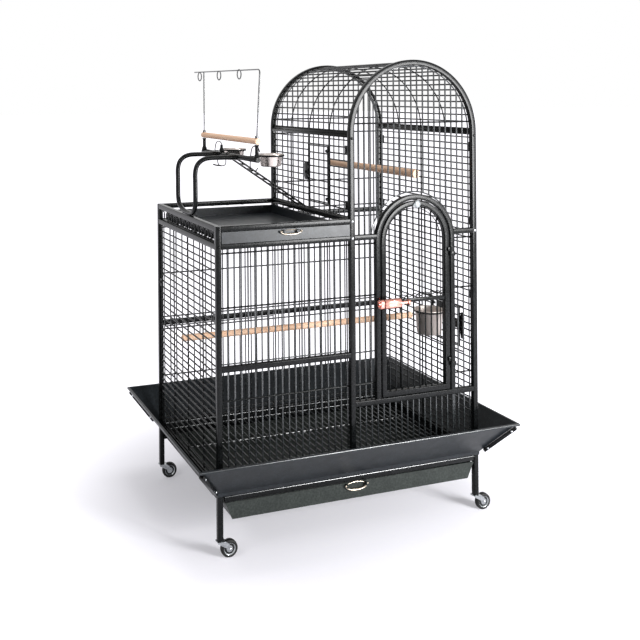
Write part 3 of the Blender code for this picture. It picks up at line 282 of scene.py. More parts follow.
# Back frame
# The same weldment without a door. A middle rail parts its two rows of bars, and the middle post stands on
# the upper rails only. A strip of sheet with a hemmed foot, under the lowest rail, stops the drawers.
STOP_Y, STOP_Z = 0.3148, 0.16
rod_y = BACK_Y - ROD_IN
back = legs_and_rails(BACK_Y, LOWER_Z)
back += tubes(runs(BOTH_BAYS, BACK_Y, HALFWAY_Z), runs(RIGHT_BAY, BACK_Y, LOWER_Z))
back += [rods((LEFT_X, RIGHT_X), rod_y, [0.252, 0.42, 0.607, 0.657, 0.834, 1.021]),
         rods((MID_X, RIGHT_X), rod_y, [1.072, 1.185, 1.392]),
         block((BOTH_BAYS[0], STOP_Y, STOP_Z), (BOTH_BAYS[1], STOP_Y + 0.002, BASE_Z), 0.0006, 0),
         rods(BOTH_BAYS, STOP_Y - 0.0006, STOP_Z + 0.003, 0.0016)]
piece("back_frame_tubes", back, POWDER_COAT, "back_frame")

# Dome arches and hoops
# Two arches rolled from the same square tube are bolted on the posts. Two flat strips and three round hoops
# join them and carry the roof wires.
DOME_X, DOME_R = 0.254, 0.258
END_Y = 0.3127
ROD_Y = [-0.161, 0.0, 0.161]
# The upright rods and the hoops lie this far inside the walls and the dome.
BEHIND = 0.0043
for name, y, inner in (("front", FRONT_Y, 1), ("back", BACK_Y, -1)):
    parts = tubes(arch(DOME_X, SPRING_Z, DOME_R, y, steps=64))
    parts.append(rods((MID_X + 0.006, RIGHT_X - 0.006), y + inner * ROD_IN, SPRING_Z + 0.038))
    piece(f"dome_{name}_arch_tube", parts, POWDER_COAT, f"dome_{name}_arch")
hoops = [block((x - 0.006, -END_Y, SPRING_Z), (x + 0.006, END_Y, SPRING_Z + 0.008), 0.001, 1)
         for x in (MID_X - 0.001, RIGHT_X + 0.001)]
hoops += [wire(arch(DOME_X, SPRING_Z, DOME_R - BEHIND, y), 0.0023) for y in ROD_Y]
piece("dome_hoop_rods", hoops, POWDER_COAT, "dome_hoops")

# Side frames
# Square rails run from the front to the back posts. Upright rods stiffen the walls, and folded lips on the
# rails' inner sides are the runners of the tray, the grate and the pan.
RUNNER_Y, PAN_RUNNER_Z, GRATE_RUNNER_Z = -0.309, 0.18, 0.2015
TRAY_RUNNER_Z = LOWER_Z + HALF - 0.001
ROD_TOP = 1.404


def rails(x, z):
    """Square tubes from front to back."""
    return tubes(runs(x, (-END_Y, END_Y), z), across=(1, 0, 0))


def top_rail(x):
    """Flatter bar under the dome, level with the posts' tops."""
    return block((x - HALF, -END_Y, SPRING_Z - 0.0115), (x + HALF, END_Y, SPRING_Z - 0.0005), 0.0015, 1)


def lip(x, inward, z, depth=0.012):
    """Folded runner on the inner side of a rail."""
    return block((x + inward * (HALF - 0.001), RUNNER_Y, z - 0.002), (x + inward * (HALF + depth), END_Y, z),
                 0.0006, 1)


def runners(x, inward):
    """Plate under the lowest rail, with the runners of the pan and the grate."""
    return [lip(x, inward, PAN_RUNNER_Z, 0.014), lip(x, inward, GRATE_RUNNER_Z),
            block((x + inward * (HALF - 0.003), RUNNER_Y, PAN_RUNNER_Z - 0.002),
                  (x + inward * (HALF - 0.001), END_Y, BASE_Z), 0.0006, 1)]


def stubs(x):
    """Short uprights that join the two upper rails beside the posts."""
    return [block((x - 0.007, end * END_Y, LOWER_Z), (x + 0.007, end * (END_Y - 0.008), RIM_Z), 0.001)
            for end in (-1, 1)]


left = rails(LEFT_X, [BASE_Z, LOWER_Z, RIM_Z]) + stubs(LEFT_X) + runners(LEFT_X, 1)
left += [rods(LEFT_X + BEHIND, ROD_Y, (BASE_Z, LOWER_Z)), lip(LEFT_X, 1, TRAY_RUNNER_Z)]
piece("left_side_rails", left, POWDER_COAT, "left_side_frame")

# The front rod of the right wall gives way to a frame of two level rods round the feeder door.
rod_x, feeder_z = RIGHT_X - BEHIND, [0.575, 0.745]
right = rails(RIGHT_X, BASE_Z) + runners(RIGHT_X, -1) + [top_rail(RIGHT_X)]
right += [rods(rod_x, ROD_Y[1:], (BASE_Z, ROD_TOP)), rods(rod_x, ROD_Y[0], (BASE_Z, feeder_z[0])),
          rods(rod_x, ROD_Y[0], (feeder_z[1], ROD_TOP)), rods(rod_x, (-0.261, 0), feeder_z)]
piece("right_side_rails", right, POWDER_COAT, "right_side_frame")

middle = rails(MID_X, [LOWER_Z, RIM_Z]) + stubs(MID_X) + [top_rail(MID_X)]
middle += [rods(MID_X + BEHIND, ROD_Y, (RIM_Z, ROD_TOP)), lip(MID_X, -1, TRAY_RUNNER_Z)]
piece("dome_side_rails", middle, POWDER_COAT, "dome_side_frame")

# Bars of the front and the back
# Panels of 4 mm wire at 25.4 mm, welded to border rods. On the tall side they run up into the dome. They are
# drawn 5.8 mm thick, as thick as they show in the photograph.
BORDER_R, GABLE_R = 0.0025, 0.2457
WIRE_COAT = hammertone("hammertone_coat_on_wire", "#060707", "#191b1c", 0.005, 0.0001, 0.26, 0.18)
# Painted sheen: the bars carry the same powder coat as the tubes, drawn much lighter and glossier so the
# wires look as light as the lamps' reflections make them. The toy hook, the grate wires and the skirt's hems
# use it too.
BARS_PAINTED_SHEEN_COAT = hammertone("hammertone_on_bars_with_painted_sheen", "#17191a", "#4a4e50", 0.005, 0.0001, 0.22, 1.0, 0.15)
BAR_FRONT_Y, BAR_BACK_Y = -0.3107, 0.3107
BAR_LOW, BAR_HIGH = 0.2225, 1.0495
# A panel starts this far from the middle of its post.
BESIDE = HALF + 0.0003


def spaced(first, last, gaps, border=0.005, thick=0.004):
    """Middles of the wires between the gaps of a panel."""
    step = (last - first - 2 * border + thick) / gaps
    return first + border + np.arange(1, gaps) * step - thick / 2


def height_in(x, centre, base, radius):
    """Height of an arch over each place across."""
    return base + np.sqrt(np.maximum(radius ** 2 - (x - centre) ** 2, 0))


for name, y in (("front_left", BAR_FRONT_Y), ("back_left", BAR_BACK_Y)):
    sides = LEFT_X + BESIDE + BORDER_R, MID_X - BESIDE - BORDER_R
    levels = [BAR_LOW + BORDER_R, HALFWAY_Z - 0.0125, HALFWAY_Z + 0.0125, BAR_HIGH - BORDER_R]
    parts = [rods(spaced(LEFT_X + BESIDE, MID_X - BESIDE, 19), y, (BAR_LOW, BAR_HIGH)),
             rods(list(sides), y, (BAR_LOW, BAR_HIGH), BORDER_R), rods(sides, y, levels, BORDER_R)]
    piece(f"{name}_wire_bars", parts, BARS_PAINTED_SHEEN_COAT, f"{name}_bars")


def tall_border(y):
    """Border rods of a tall panel: along its foot, and up both sides and over under the dome."""
    return [rods((MID_X + BESIDE, RIGHT_X - BESIDE), y, BAR_LOW + BORDER_R, BORDER_R),
            wire(archway(DOME_X, SPRING_Z, GABLE_R, y, BAR_LOW), BORDER_R)]


bar_x = spaced(MID_X + BESIDE, RIGHT_X - BESIDE, 20)
dome_z = height_in(bar_x, DOME_X, SPRING_Z, 0.245)
parts = [rods(bar_x, BAR_BACK_Y, (BAR_LOW, dome_z))] + tall_border(BAR_BACK_Y)
piece("back_right_wire_bars", parts, BARS_PAINTED_SHEEN_COAT, "back_right_bars")

# Round the door the bars stop on a border rod that follows the jamb, and start again below the sill.
SURROUND_R = 0.1755
cut = np.abs(bar_x - DOOR_X) < SURROUND_R
door_z = height_in(bar_x[cut], DOOR_X, DOOR_ARCH_Z, SURROUND_R)
parts = [rods(bar_x[~cut], BAR_FRONT_Y, (BAR_LOW, dome_z[~cut])),
         rods(bar_x[cut], BAR_FRONT_Y, (door_z, dome_z[cut])),
         rods(bar_x[cut], BAR_FRONT_Y, (BAR_LOW, SILL_Z)),
         rods((DOOR_X - SURROUND_R, DOOR_X + SURROUND_R), BAR_FRONT_Y, SILL_Z, BORDER_R),
         wire(archway(DOOR_X, DOOR_ARCH_Z, SURROUND_R, BAR_FRONT_Y, BAR_LOW), BORDER_R)]
piece("front_right_wire_bars", parts + tall_border(BAR_FRONT_Y), BARS_PAINTED_SHEEN_COAT, "front_right_bars")

# Wires of the side walls
# Level wires at 24 mm between border rods, welded to the upright rods. The dome's wall leaves an opening for
# the side door, the right wall one for the feeder door.
BORDER_Y = END_Y - BORDER_R


def wire_wall(name, x, low, high, gaps, opening=None):
    """Wall of level wires. opening is (front edge, back edge, first gap, number of gaps)."""
    z = spaced(low, high, gaps)
    ends = -BORDER_Y, BORDER_Y
    parts = [rods(x, ends, [low + BORDER_R, high - BORDER_R], BORDER_R),
             rods(x, list(ends), (low, high), BORDER_R)]
    cut = np.zeros(len(z), bool)
    if opening:
        y0, y1, first, count = opening
        y0, y1 = y0 - BORDER_R, y1 + BORDER_R
        cut[first:first + count - 1] = True
        parts += [rods(x, (-BORDER_Y, y0), z[cut]), rods(x, (y1, BORDER_Y), z[cut]),
                  rods(x, [y0, y1], (z[first - 1], z[first + count - 1]), BORDER_R)]
    parts.append(rods(x, ends, z[~cut]))
    piece(f"{name}_rods", parts, WIRE_COAT, name)


wire_wall("left_wires", LEFT_X, 0.2353, 1.0367, 32)
wire_wall("right_wires", RIGHT_X, 0.2353, 1.3944, 46, (-0.234, -0.066, 14, 6))
wire_wall("dome_side_wires", MID_X, 1.1163, 1.3944, 11, (-0.158, -0.003, 1, 9))

# Roof wires
# Straight wires from arch to arch, laid round the dome at 26 mm and welded on the hoops. The first turn, in
# radians, puts the lowest wires 11 mm over the spring line.
FIRST_TURN = 0.04218
turn = np.linspace(FIRST_TURN, math.pi - FIRST_TURN, 31)
parts = [rods(DOME_X + DOME_R * np.cos(turn), (-BORDER_Y, BORDER_Y), SPRING_Z + DOME_R * np.sin(turn))]
parts += [wire(arch(DOME_X, SPRING_Z, DOME_R, y, 178, 2), BORDER_R) for y in (-BORDER_Y, BORDER_Y)]
piece("roof_wire_rods", parts, WIRE_COAT, "roof_wires")

# Bolts and panel brackets
# Domed bolts join the frames at the rails: three zinc plated ones show in front, and the others are coated
# black. Black hook brackets hold the side panels, and three clips hang from the rail behind the tray.
ARCH_JOINT_Z = 1.4
CLIPS_X, CLIP_Y, RIM_FOOT_Z = (-0.287, -0.22, -0.1525), 0.3118, RIM_Z - HALF
DOME_HEAD = np.array([(5.2, 0), (5.2, 1), (4.6, 2.1), (3.2, 3), (1.4, 3.4), (TIP, 3.5)])
BRACKETS = ((LEFT_X, -1, 0.802), (MID_X, -1, 1.358), (MID_X, -1, 1.16), (RIGHT_X, 1, 1.358),
            (RIGHT_X, 1, 1.077), (RIGHT_X, 1, 0.802))


def clouded(name, dark, light, grain, haze, gloss, relief=None, **settings):
    """Finish with small clouds. grain and haze are the (size, detail) of those in its colour and in its
    roughness, which lies between the two of gloss. relief returns the node that makes the normal."""
    def coat(tree, place):
        cloud, drift = [node(tree, "TexNoise", {"Vector": place, "Scale": 1 / size, "Detail": detail})
                        for size, detail in (grain, haze)]
        rough = node(tree, "MapRange", {"Value": drift, "To Min": gloss[0], "To Max": gloss[1]})
        made = [blended(tree, cloud, dark, light), rough.outputs[0]]
        return made + [relief(tree, place).outputs[0]] if relief else made

    return finish(name, coat, **settings)


# Zinc plate is bright with a faint cloudy spangle.
ZINC = clouded("zinc_plated_steel", "#85898c", "#c9ccce", (0.00625, 2.0), (0.0111, 3.0), (0.16, 0.38),
               Metallic=1.0)


def frame_bolts(name, places, coat):
    """Domed bolt heads on the outer faces of the front (-1) and back (1) frames at x, side and z."""
    heads = [turned(DOME_HEAD, (x, side * (BACK_Y + HALF), z), (0, side, 0), 16) for x, side, z in places]
    piece(name, heads, coat)


bright = [(MID_X, -1, RIM_Z), (MID_X, -1, LOWER_Z), (RIGHT_X, -1, LOWER_Z)]
bolts = [(x, side, z) for side in (-1, 1) for x, z in (
    (LEFT_X, RIM_Z), (LEFT_X, LOWER_Z), (MID_X, RIM_Z), (MID_X, LOWER_Z), (RIGHT_X, LOWER_Z),
    (MID_X, ARCH_JOINT_Z), (RIGHT_X, ARCH_JOINT_Z))] + [(LEFT_X, -1, BASE_Z), (RIGHT_X, -1, BASE_Z)]
frame_bolts("frame_bolts_zinc", bright, ZINC)
frame_bolts("frame_bolts_black", [bolt for bolt in bolts if bolt not in bright], POWDER_COAT)

brackets = [block((x - 0.006, CLIP_Y, RIM_FOOT_Z - 0.0005), (x + 0.006, CLIP_Y + 0.0018, RIM_FOOT_Z + 0.004),
                  0.0006, 0) for x in CLIPS_X]
for x, out, z in BRACKETS:
    for end in (-1, 1):
        face_x = x + out * 0.0062
        brackets += [block((x + out * 0.003, end * (END_Y + 0.0002), z - 0.016),
                           (face_x, end * (END_Y - 0.021), z + 0.016), 0.001, 0),
                     turned(DOME_HEAD * (1.15, 1), (face_x, end * (END_Y - 0.011), z), (out, 0, 0), 14)]
piece("panel_brackets", brackets, POWDER_COAT)

# Main door
# Arched frame of 16 x 19 mm tube with its own bars, a middle rail with a wavy wire above it, the upper
# halves of the hinges and a small cast finial at the top of the arch.
DOOR_Y, DOOR_R, DOOR_FOOT_Z, DOOR_RAIL_Z = -0.3235, 0.134, 0.4775, 0.8075
DOOR_BARS_Y, DOOR_BORDER_R = -0.3132, 0.126
door = [skin(carried(archway(DOOR_X, DOOR_ARCH_Z, DOOR_R, DOOR_Y, DOOR_FOOT_Z), rounded(0.016, TUBE, 0.0022),
                     (0, 1, 0), closed=True), closed=True),
        block((DOOR_X - 0.127, -0.329, DOOR_RAIL_Z - 0.0075), (DOOR_X + 0.127, -0.3215, DOOR_RAIL_Z + 0.007),
              0.0022, 0)]
for hinge_z in HINGES_Z:
    door.append(turned([(TIP, 0.3), (4, 0.3), (4.5, 1), (4.5, 16), (3.6, 16.7), (TIP, 16.7)],
                       (HINGE_X, HINGE_Y, hinge_z)))
    door.append(block((DOOR_X + DOOR_R - 0.0005, HINGE_Y - 0.0015, hinge_z + 0.002),
                      (HINGE_X - 0.001, HINGE_Y + 0.006, hinge_z + 0.016), 0.0008))
share = np.linspace(0, 1, 90)
wave = np.sin(share * 24)
for way in (-1, 1):
    door.append(wire(np.stack([0.196 + 0.186 * share, -0.32 + 0.0016 * way * np.sign(wave),
                               0.821 + 0.006 * share + 0.0045 * way * wave], 1), 0.002, 6))
piece("main_door_tube", door, POWDER_COAT, "main_door", "main_door")

x = spaced(DOOR_X - 0.128, DOOR_X + 0.128, 10, 0.004)
low = DOOR_FOOT_Z + 0.008
border = archway(DOOR_X, DOOR_ARCH_Z, DOOR_BORDER_R, DOOR_BARS_Y, low)
inner = archway(DOOR_X, DOOR_ARCH_Z, 0.1155, DOOR_BARS_Y, low)
parts = [rods(x, DOOR_BARS_Y, (low - 0.002, height_in(x, DOOR_X, DOOR_ARCH_Z, 0.125))),
         wire(border, 0.002, 8, (0, 1, 0), closed=True), wire(inner, 0.0016, 6, (0, 1, 0)),
         rods((DOOR_X - DOOR_BORDER_R, DOOR_X + DOOR_BORDER_R), DOOR_BARS_Y, DOOR_RAIL_Z, 0.002)]
piece("main_door_wire_bars", parts, WIRE_COAT, "main_door_bars", "main_door")

# The finial is a flat oval boss with a peg across it, drawn in a light grey hammertone, much lighter than
# the black coat round it.
FINIAL_COAT = hammertone("hammertone_on_cast_finial", "#6d7274", "#a4a8aa", 0.004, 0.0003, 0.35, 0.5)
turn = np.linspace(0.02, math.pi - 0.02, 14)
points, faces = turned(np.stack([16.5 * np.sin(turn), 4.5 * np.cos(turn)], 1), (0, 0, 0), (0, 1, 0), 28)
peg = turned([(TIP, -7), (2.8, -7), (4.2, -5), (4.2, 4), (2.6, 6.2), (TIP, 6.5)],
             (0.2475, -0.3335, 1.153), (0.5, 0, 1), 14)
piece("main_door_finial", [(points * (0.8, 1, 0.85) + (0.262, -0.3345, 1.156), faces), peg], FINIAL_COAT,
      body="main_door")

# Door bolt
# Copper plated barrel bolt pressed from brass: two rounded bands, one above the other. The long barrel and
# its bolt are on the door, the short keeper is on the jamb. The plate is pinkish and a little uneven.
COPPER = clouded("polished_copper_plate", "#b9766a", "#e6aa9b", (0.0143, 4.0), (0.00455, 2.0), (0.14, 0.3),
                 Metallic=1.0)
BOLT_Y = -0.3505
lobes = circle(1, 32) * (0.0139 - 0.0042 * np.cos(np.arange(32) * math.pi / 8))[:, None]


def sleeve(x0, x1, bore):
    """Two-banded sleeve with a round bore: rings of the outline out along it and of the bore back."""
    path = np.array([(x, BOLT_Y, DOOR_RAIL_Z) for x in (x0, x0 + 0.0012, x1 - 0.0012, x1)])
    outside = carried(path, lobes, (0, 1, 0), np.array([0.92, 1, 1, 0.92]))
    inside = carried(path[[3, 0]], circle(bore, 32) * (1, -1), (0, 1, 0))
    return skin(np.concatenate([outside, inside], 1), closed=True)


for name, ends, bore, foot, foot_y, half, body in (
        ("barrel", (0.1125, 0.1775), 0.0072, (0.127, 0.1755), -0.331, 0.013, "main_door"),
        ("keeper", (0.0925, 0.1085), 0.0085, (0.0935, 0.1055), -0.3315, 0.012, "cage")):
    plate = block((foot[0], BOLT_Y + 0.0085, DOOR_RAIL_Z - half), (foot[1], foot_y, DOOR_RAIL_Z + half))
    piece(f"door_bolt_{name}", [sleeve(*ends, bore), plate], COPPER, None, body)
bolt = turned([(TIP, -50), (5.2, -50), (6.2, -49), (6.2, 28.5), (10.2, 29.1), (11.2, 30.2), (11.2, 36.6),
               (9.8, 38.8), (5, 39.8), (TIP, 40)], (0.1775, BOLT_Y, DOOR_RAIL_Z), (1, 0, 0), 28)
piece("door_bolt_rod", [bolt], COPPER, "main_door_bolt", "main_door_bolt")

# Side door, feeder door and their latches
# Small doors of welded wire with two hinge loops each. The feeder door carries a ring on two arms that holds
# the cup inside the cage. Both are locked by a flat turn latch on a stud.
CUP_X, CUP_Y, CUP_Z = 0.444, -0.138, 0.62
LATCH_OUTLINE = np.array([(-0.006, -0.45), (0.006, -0.45), (0.008, -0.25), (0.009, -0.05), (0.009, 0.35),
                          (0.0065, 0.5), (0.004, 0.55), (-0.004, 0.55), (-0.0065, 0.4), (-0.006, 0.2),
                          (-0.0045, -0.1), (-0.0045, -0.3)])


def wire_door(name, x, y0, y1, z0, z1, gaps, hinge_y, outward, more=()):
    """Wire door: border rods, level wires and two hinge loops."""
    inset = np.array([BORDER_R, -BORDER_R])
    parts = [rods(x, (y0 + 0.001, y1 - 0.001), inset + (z0, z1), BORDER_R),
             rods(x, inset + (y0, y1), (z0 + 0.001, z1 - 0.001), BORDER_R),
             rods(x, (y0 + BORDER_R, y1 - BORDER_R), spaced(z0, z1, gaps)), *more]
    side, edge_y = (1, y1) if hinge_y > y0 else (-1, y0)
    axis_x = x + outward * 0.0065
    for z in (z0 + 0.012, z1 - 0.024):
        parts += [turned([(1.6, 0), (3.2, 0), (3.2, 12), (1.6, 12)], (axis_x, hinge_y, z), closed=True),
                  block((axis_x - 0.0012, edge_y - side * 0.008, z + 0.001),
                        (axis_x + 0.0012, hinge_y - side * 0.0024, z + 0.011), 0.0006, 1),
                  block((x + outward * 0.001, edge_y - side * 0.007, z + 0.002),
                        (axis_x, edge_y - side * 0.001, z + 0.01), 0.0006, 0)]
    piece(f"{name}_wires", parts, WIRE_COAT, name, name)


def turn_latch(name, x, outward, y, z, length, breadth, more=()):
    """Flat latch with a waisted outline, a raised edge and a domed stud."""
    flat = np.insert(LATCH_OUTLINE * (breadth, length) + (y, z), 0, 0, 1)
    centre = flat.mean(0)
    rings = centre + (flat - centre) * np.array([0.93, 1, 1, 0.9])[:, None, None]
    rings[..., 0] = x + outward * np.array([0.0026, 0.0032, 0.0058, 0.0066])[:, None]
    stud = turned([(5.2, 0), (5.2, 4.5), (4.4, 5.6), (2.2, 6.3), (TIP, 6.4)],
                  (x + outward * 0.005, y + 0.001, z), (outward, 0, 0), 18)
    piece(f"{name}_lever", [skin(rings[None]), stud, *more], POWDER_COAT, name, name)


wire_door("side_door", MID_X, -0.1565, -0.0045, 1.1475, 1.3632, 8, -0.1595, -1)
turn_latch("side_door_latch", MID_X, -1, 0.0095, 1.2554, 0.07, 2.2)

holder = [block((CUP_X + 0.047, y - 0.003, CUP_Z + 0.0862), (RIGHT_X - 0.0035, y + 0.003, CUP_Z + 0.0898),
                0.0008, 0) for y in (CUP_Y - 0.034, CUP_Y + 0.034)]
holder += [block((RIGHT_X - 0.0048, CUP_Y - 0.04, CUP_Z + 0.084), (RIGHT_X - 0.001, CUP_Y + 0.04, 0.7341),
                 0.0008),
           turned([(55.7, 85.8), (59.5, 85.8), (59.8, 86.4), (59.8, 89.6), (59.2, 90.2), (55.7, 90.2)],
                  (CUP_X, CUP_Y, CUP_Z), sides=40, closed=True)]
wire_door("feeder_door", RIGHT_X, -0.2325, -0.0675, 0.5927, 0.7361, 5, -0.0645, 1, holder)
tab = block((RIGHT_X + 0.003, -0.2385, 0.653), (RIGHT_X + 0.0054, -0.205, 0.69), 0.001, 0)
turn_latch("feeder_door_latch", RIGHT_X, 1, -0.2495, 0.6644, 0.1, 1.6, [tab])

# Steel cups
# Deep drawn stainless cups with a rolled rim, one in the feeder and two on the play stand. Drawing and
# polishing leave faint level rings, and the feeder's cup is worn duller.
PLAY_CUP_X, PLAY_CUP_Z, PLAY_CUPS_Y = -0.247, 1.298, (-0.175, 0.175)


def drawn_steel(name, gloss):
    """Stainless steel with faint level drawing rings, at a given roughness."""
    def rings(tree, place):
        band = node(tree, "TexWave", {"Vector": place, "Scale": 1 / 0.00625, "Distortion": 1.5},
                    bands_direction="Z")
        return node(tree, "Bump", {"Height": band.outputs["Fac"], "Strength": 0.12, "Distance": 0.0002})

    return clouded(name, "#b5a9a3", "#d9d2cd", (0.0333, 3.0), (0.0167, 4.0), (gloss, gloss + 0.16), rings,
                   Metallic=1.0)


def cup(name, foot, radius, height, steel):
    """Drawn cup, sizes in millimetres: up the outside to the rolled rim, then down the inside."""
    profile = [(0.3, 0.8), (radius - 20, 0.6), (radius - 13, 0), (radius - 9.5, 0.8), (radius - 7.6, 3.5),
               (radius - 1.8, height - 6), (radius + 0.2, height - 3.6), (radius + 2.8, height - 3.4),
               (radius + 3.9, height - 2.2), (radius + 3.7, height - 0.8), (radius + 2.4, height),
               (radius - 0.5, height - 0.4), (radius - 2.4, height - 3), (radius - 3.2, height - 7),
               (radius - 8.8, 5), (radius - 11, 2), (radius - 16, 1.2), (0.3, 1.6)]
    piece(f"{name}_bowl", [turned(profile, foot, sides=48)], steel, name, name)


cup("feeder_cup", (CUP_X, CUP_Y, CUP_Z), 54, 95, drawn_steel("worn_stainless_steel", 0.42))
STAINLESS = drawn_steel("drawn_stainless_steel", 0.14)
for name, y in zip(("playtop_cup_front", "playtop_cup_back"), PLAY_CUPS_Y):
    cup(name, (PLAY_CUP_X, y, PLAY_CUP_Z), 45, 45, STAINLESS)

# Play top tray and debris pan
# Drawers folded from 1 mm sheet under the same coat, laid on wider and flatter than on the tubes. The solids
# have their shape already. Each has a drop handle of satin nickel, darker in patches, on two drilled lugs.
TRAY_SHEET = hammertone("hammertone_coat_on_tray", "#111416", "#23282d", 0.006, 0.0001, 0.34, 0.38, 0.06)
PAN_SHEET = hammertone("hammertone_coat_on_pan", "#202422", "#363b38", 0.006, 0.0001, 0.36, 0.22)
NICKEL = clouded("antique_satin_nickel", "#6f665a", "#c9bfb0", (0.00714, 3.0), (0.00333, 2.0), (0.22, 0.42),
                 Metallic=1.0)


def dress(name, look):
    """Gives its material to a node that keeps the shape of its solid."""
    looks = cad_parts[name].data.materials
    looks.clear()
    looks.append(look)


def drop_handle(name, x, y, z, half, drop, face_y, body):
    """Cast bail on an oval plate: the bar follows half an ellipse, thicker at the middle, with a ball on
    each end. The plate's rim is a wire round a lower oval."""
    turn = np.radians(np.linspace(10, 170, 33))
    bow = np.stack([x - half * np.cos(turn), np.full(33, y), z - drop * np.sin(turn)], 1)
    bail = [wire(bow, 0.0028, 12, (0, 1, 0), 0.75 + 0.45 * np.sin(turn) ** 2)]
    turn = np.linspace(0.02, math.pi - 0.02, 9)
    ball = np.stack([4.4 * np.sin(turn), -4.4 * np.cos(turn)], 1)
    bail += [turned(ball, (x + side * half * 0.985, y, z), (0, 1, 0), 14) for side in (-1, 1)]
    piece(f"{name}_bail", bail, NICKEL, name, name)
    turn = np.arange(40) * math.pi / 20
    oval = np.stack([x + half * 0.92 * np.cos(turn), np.full(40, face_y - 0.0013),
                     z - drop * 0.25 + drop * 0.72 * np.sin(turn)], 1)
    piece(f"{name}_plate_rim", [wire(oval, 0.0014, 8, (0, 1, 0), closed=True)], NICKEL, None, body)


dress("playtop_tray", TRAY_SHEET)
dress("debris_pan", PAN_SHEET)
drop_handle("tray_handle", -0.2465, -0.3395, 1.0865, 0.039, 0.01, -0.332, "playtop_tray")
drop_handle("pan_handle", 0.0, -0.341, 0.1785, 0.043, 0.0175, -0.3335, "debris_pan")

# Scroll band
# Ornament of wire scrolls in a thin flat frame of three bays, welded between the two rails of the left side.
# Each bay has two pairs of scrolls, back to back, and a collar in its middle.
BAND_LOW, BAND_HIGH, BAND_Y = 1.0563, 1.0967, -0.304
BAY = 0.607 / 3
middle_z = (BAND_LOW + BAND_HIGH) / 2


def mirrored(profile):
    """Profile with its mirror image on the other side of height 0."""
    return profile + [(radius, -height) for radius, height in profile[::-1]]


edges = BAND_Y + np.arange(4) * BAY
parts = [block((LEFT_X - 0.003, BAND_Y, z), (LEFT_X + 0.003, -BAND_Y, z + 0.0028), 0.0006, 1)
         for z in (BAND_LOW, BAND_HIGH - 0.0028)]
parts += [block((LEFT_X - 0.003, y - 0.0015, BAND_LOW), (LEFT_X + 0.003, y + 0.0015, BAND_HIGH), 0.0006)
          for y in edges + (0.0016, 0, 0, -0.0005)]
turn = np.linspace(-1, 1, 57)
pull = 1 - 0.62 * turn ** 2
swing = np.radians(225 * turn)
for centre in edges[:-1] + BAY / 2:
    for side, shift in ((-1, 0.024), (1, 0.024), (-1, 0.074), (1, 0.074)):
        facing = side if shift < 0.05 else -side
        y = centre + side * shift - facing * 0.021 * pull * np.cos(swing)
        z = middle_z + 0.0165 * pull * np.sin(swing)
        parts.append(wire(np.stack([np.full(57, LEFT_X), y, z], 1), across=(1, 0, 0)))
    parts.append(turned(mirrored([(3.5, -1.5), (6, -1.5)]), (LEFT_X, centre, middle_z), (1, 0, 0), 20, True))
piece("scroll_band_wires", parts, WIRE_COAT, "scroll_band")

# Play stand
# A 17 mm round tube is bent into a U that stands on the left rim, and its two arms run into a crossbar. The
# crossbar holds the perch on two short posts, the cup rings, and the wire eyes and hooks for toys.
BAR_X, BAR_Z, BAR_END = -0.34, 1.3295, 0.274
TOP_RIM = RIM_Z + HALF + 0.0003
PERCH_POST_Y = 0.262


def eased(points, steps=6):
    """Smooth path through the points: a Catmull-Rom cubic between each pair of neighbours."""
    given = np.asarray(points, float)
    given = np.concatenate([2 * given[:1] - given[1:2], given, 2 * given[-1:] - given[-2:-1]])
    a, b, c, d = given[:-3], given[1:-2], given[2:-1], given[3:]
    t = np.arange(steps)[:, None, None] / steps
    curve = b + 0.5 * ((c - a) * t + (2 * a - 5 * b + 4 * c - d) * t ** 2 + (3 * b - a - 3 * c + d) * t ** 3)
    return np.concatenate([curve.transpose(1, 0, 2).reshape(-1, 3), given[-2:-1]])


def hook(y, points, radius=0.0018):
    """Bent wire through points in millimetres from the crossbar's middle line at y."""
    return wire(eased(np.array(points) / 1000 + (BAR_X, y, BAR_Z)), radius)


arm = [(BAR_X, BAR_Z), (-0.4, BAR_Z), (LEFT_X + 0.058, BAR_Z), (LEFT_X + 0.035, 1.3255),
       (LEFT_X + 0.018, 1.316), (LEFT_X + 0.006, 1.301), (LEFT_X, 1.276)]
bow = [(0.0915, 1.24), (0.0915, 1.185), (0.086, 1.158), (0.068, 1.1405), (0.038, 1.13), (0.0, 1.1253),
       (-0.045, 1.1253), (-0.075, 1.1315), (-0.095, 1.148), (-0.1025, 1.175), (-0.1025, 1.24)]
path = [(x, bow[0][0], z) for x, z in arm] + [(LEFT_X, y, z) for y, z in bow]
path += [(x, bow[-1][0], z) for x, z in arm[::-1]]
bar_y = np.array([-BAR_END, -BAR_END + 0.0015, BAR_END - 0.0015, BAR_END])
stand = [wire(eased(path), 0.0086, 16),
         block((LEFT_X - 0.0092, -0.062, TOP_RIM), (LEFT_X + 0.0092, 0.022, TOP_RIM + 0.004)),
         wire(np.stack([np.full(4, BAR_X), bar_y, np.full(4, BAR_Z)], 1), 0.0095, 16,
              swell=np.array([0.93, 1, 1, 0.93]))]
for y in (-PERCH_POST_Y, PERCH_POST_Y):
    stand.append(turned([(TIP, 0), (10.5, 0), (10, 12), (6.6, 20), (6.4, 47), (8.4, 52.5), (8.4, 53),
                         (TIP, 53)], (BAR_X, y, BAR_Z), sides=20))
for y in PLAY_CUPS_Y:
    stand += [turned([(46.5, 36.2), (50, 36.2), (50.3, 36.8), (50.3, 40.2), (49.8, 40.8), (46.5, 40.8)],
                     (PLAY_CUP_X, y, PLAY_CUP_Z), sides=36, closed=True),
              block((BAR_X, y - 0.005, BAR_Z + 0.0053), (-0.295, y + 0.005, BAR_Z + 0.0087), 0.0008, 0)]
stand += [hook(y, [(9, 36, 6), (12, 37, 24), (12, 24, 41), (12, -4, 46), (12, -26, 40), (12, -38, 28)])
          for y in (0.132, -0.222)]
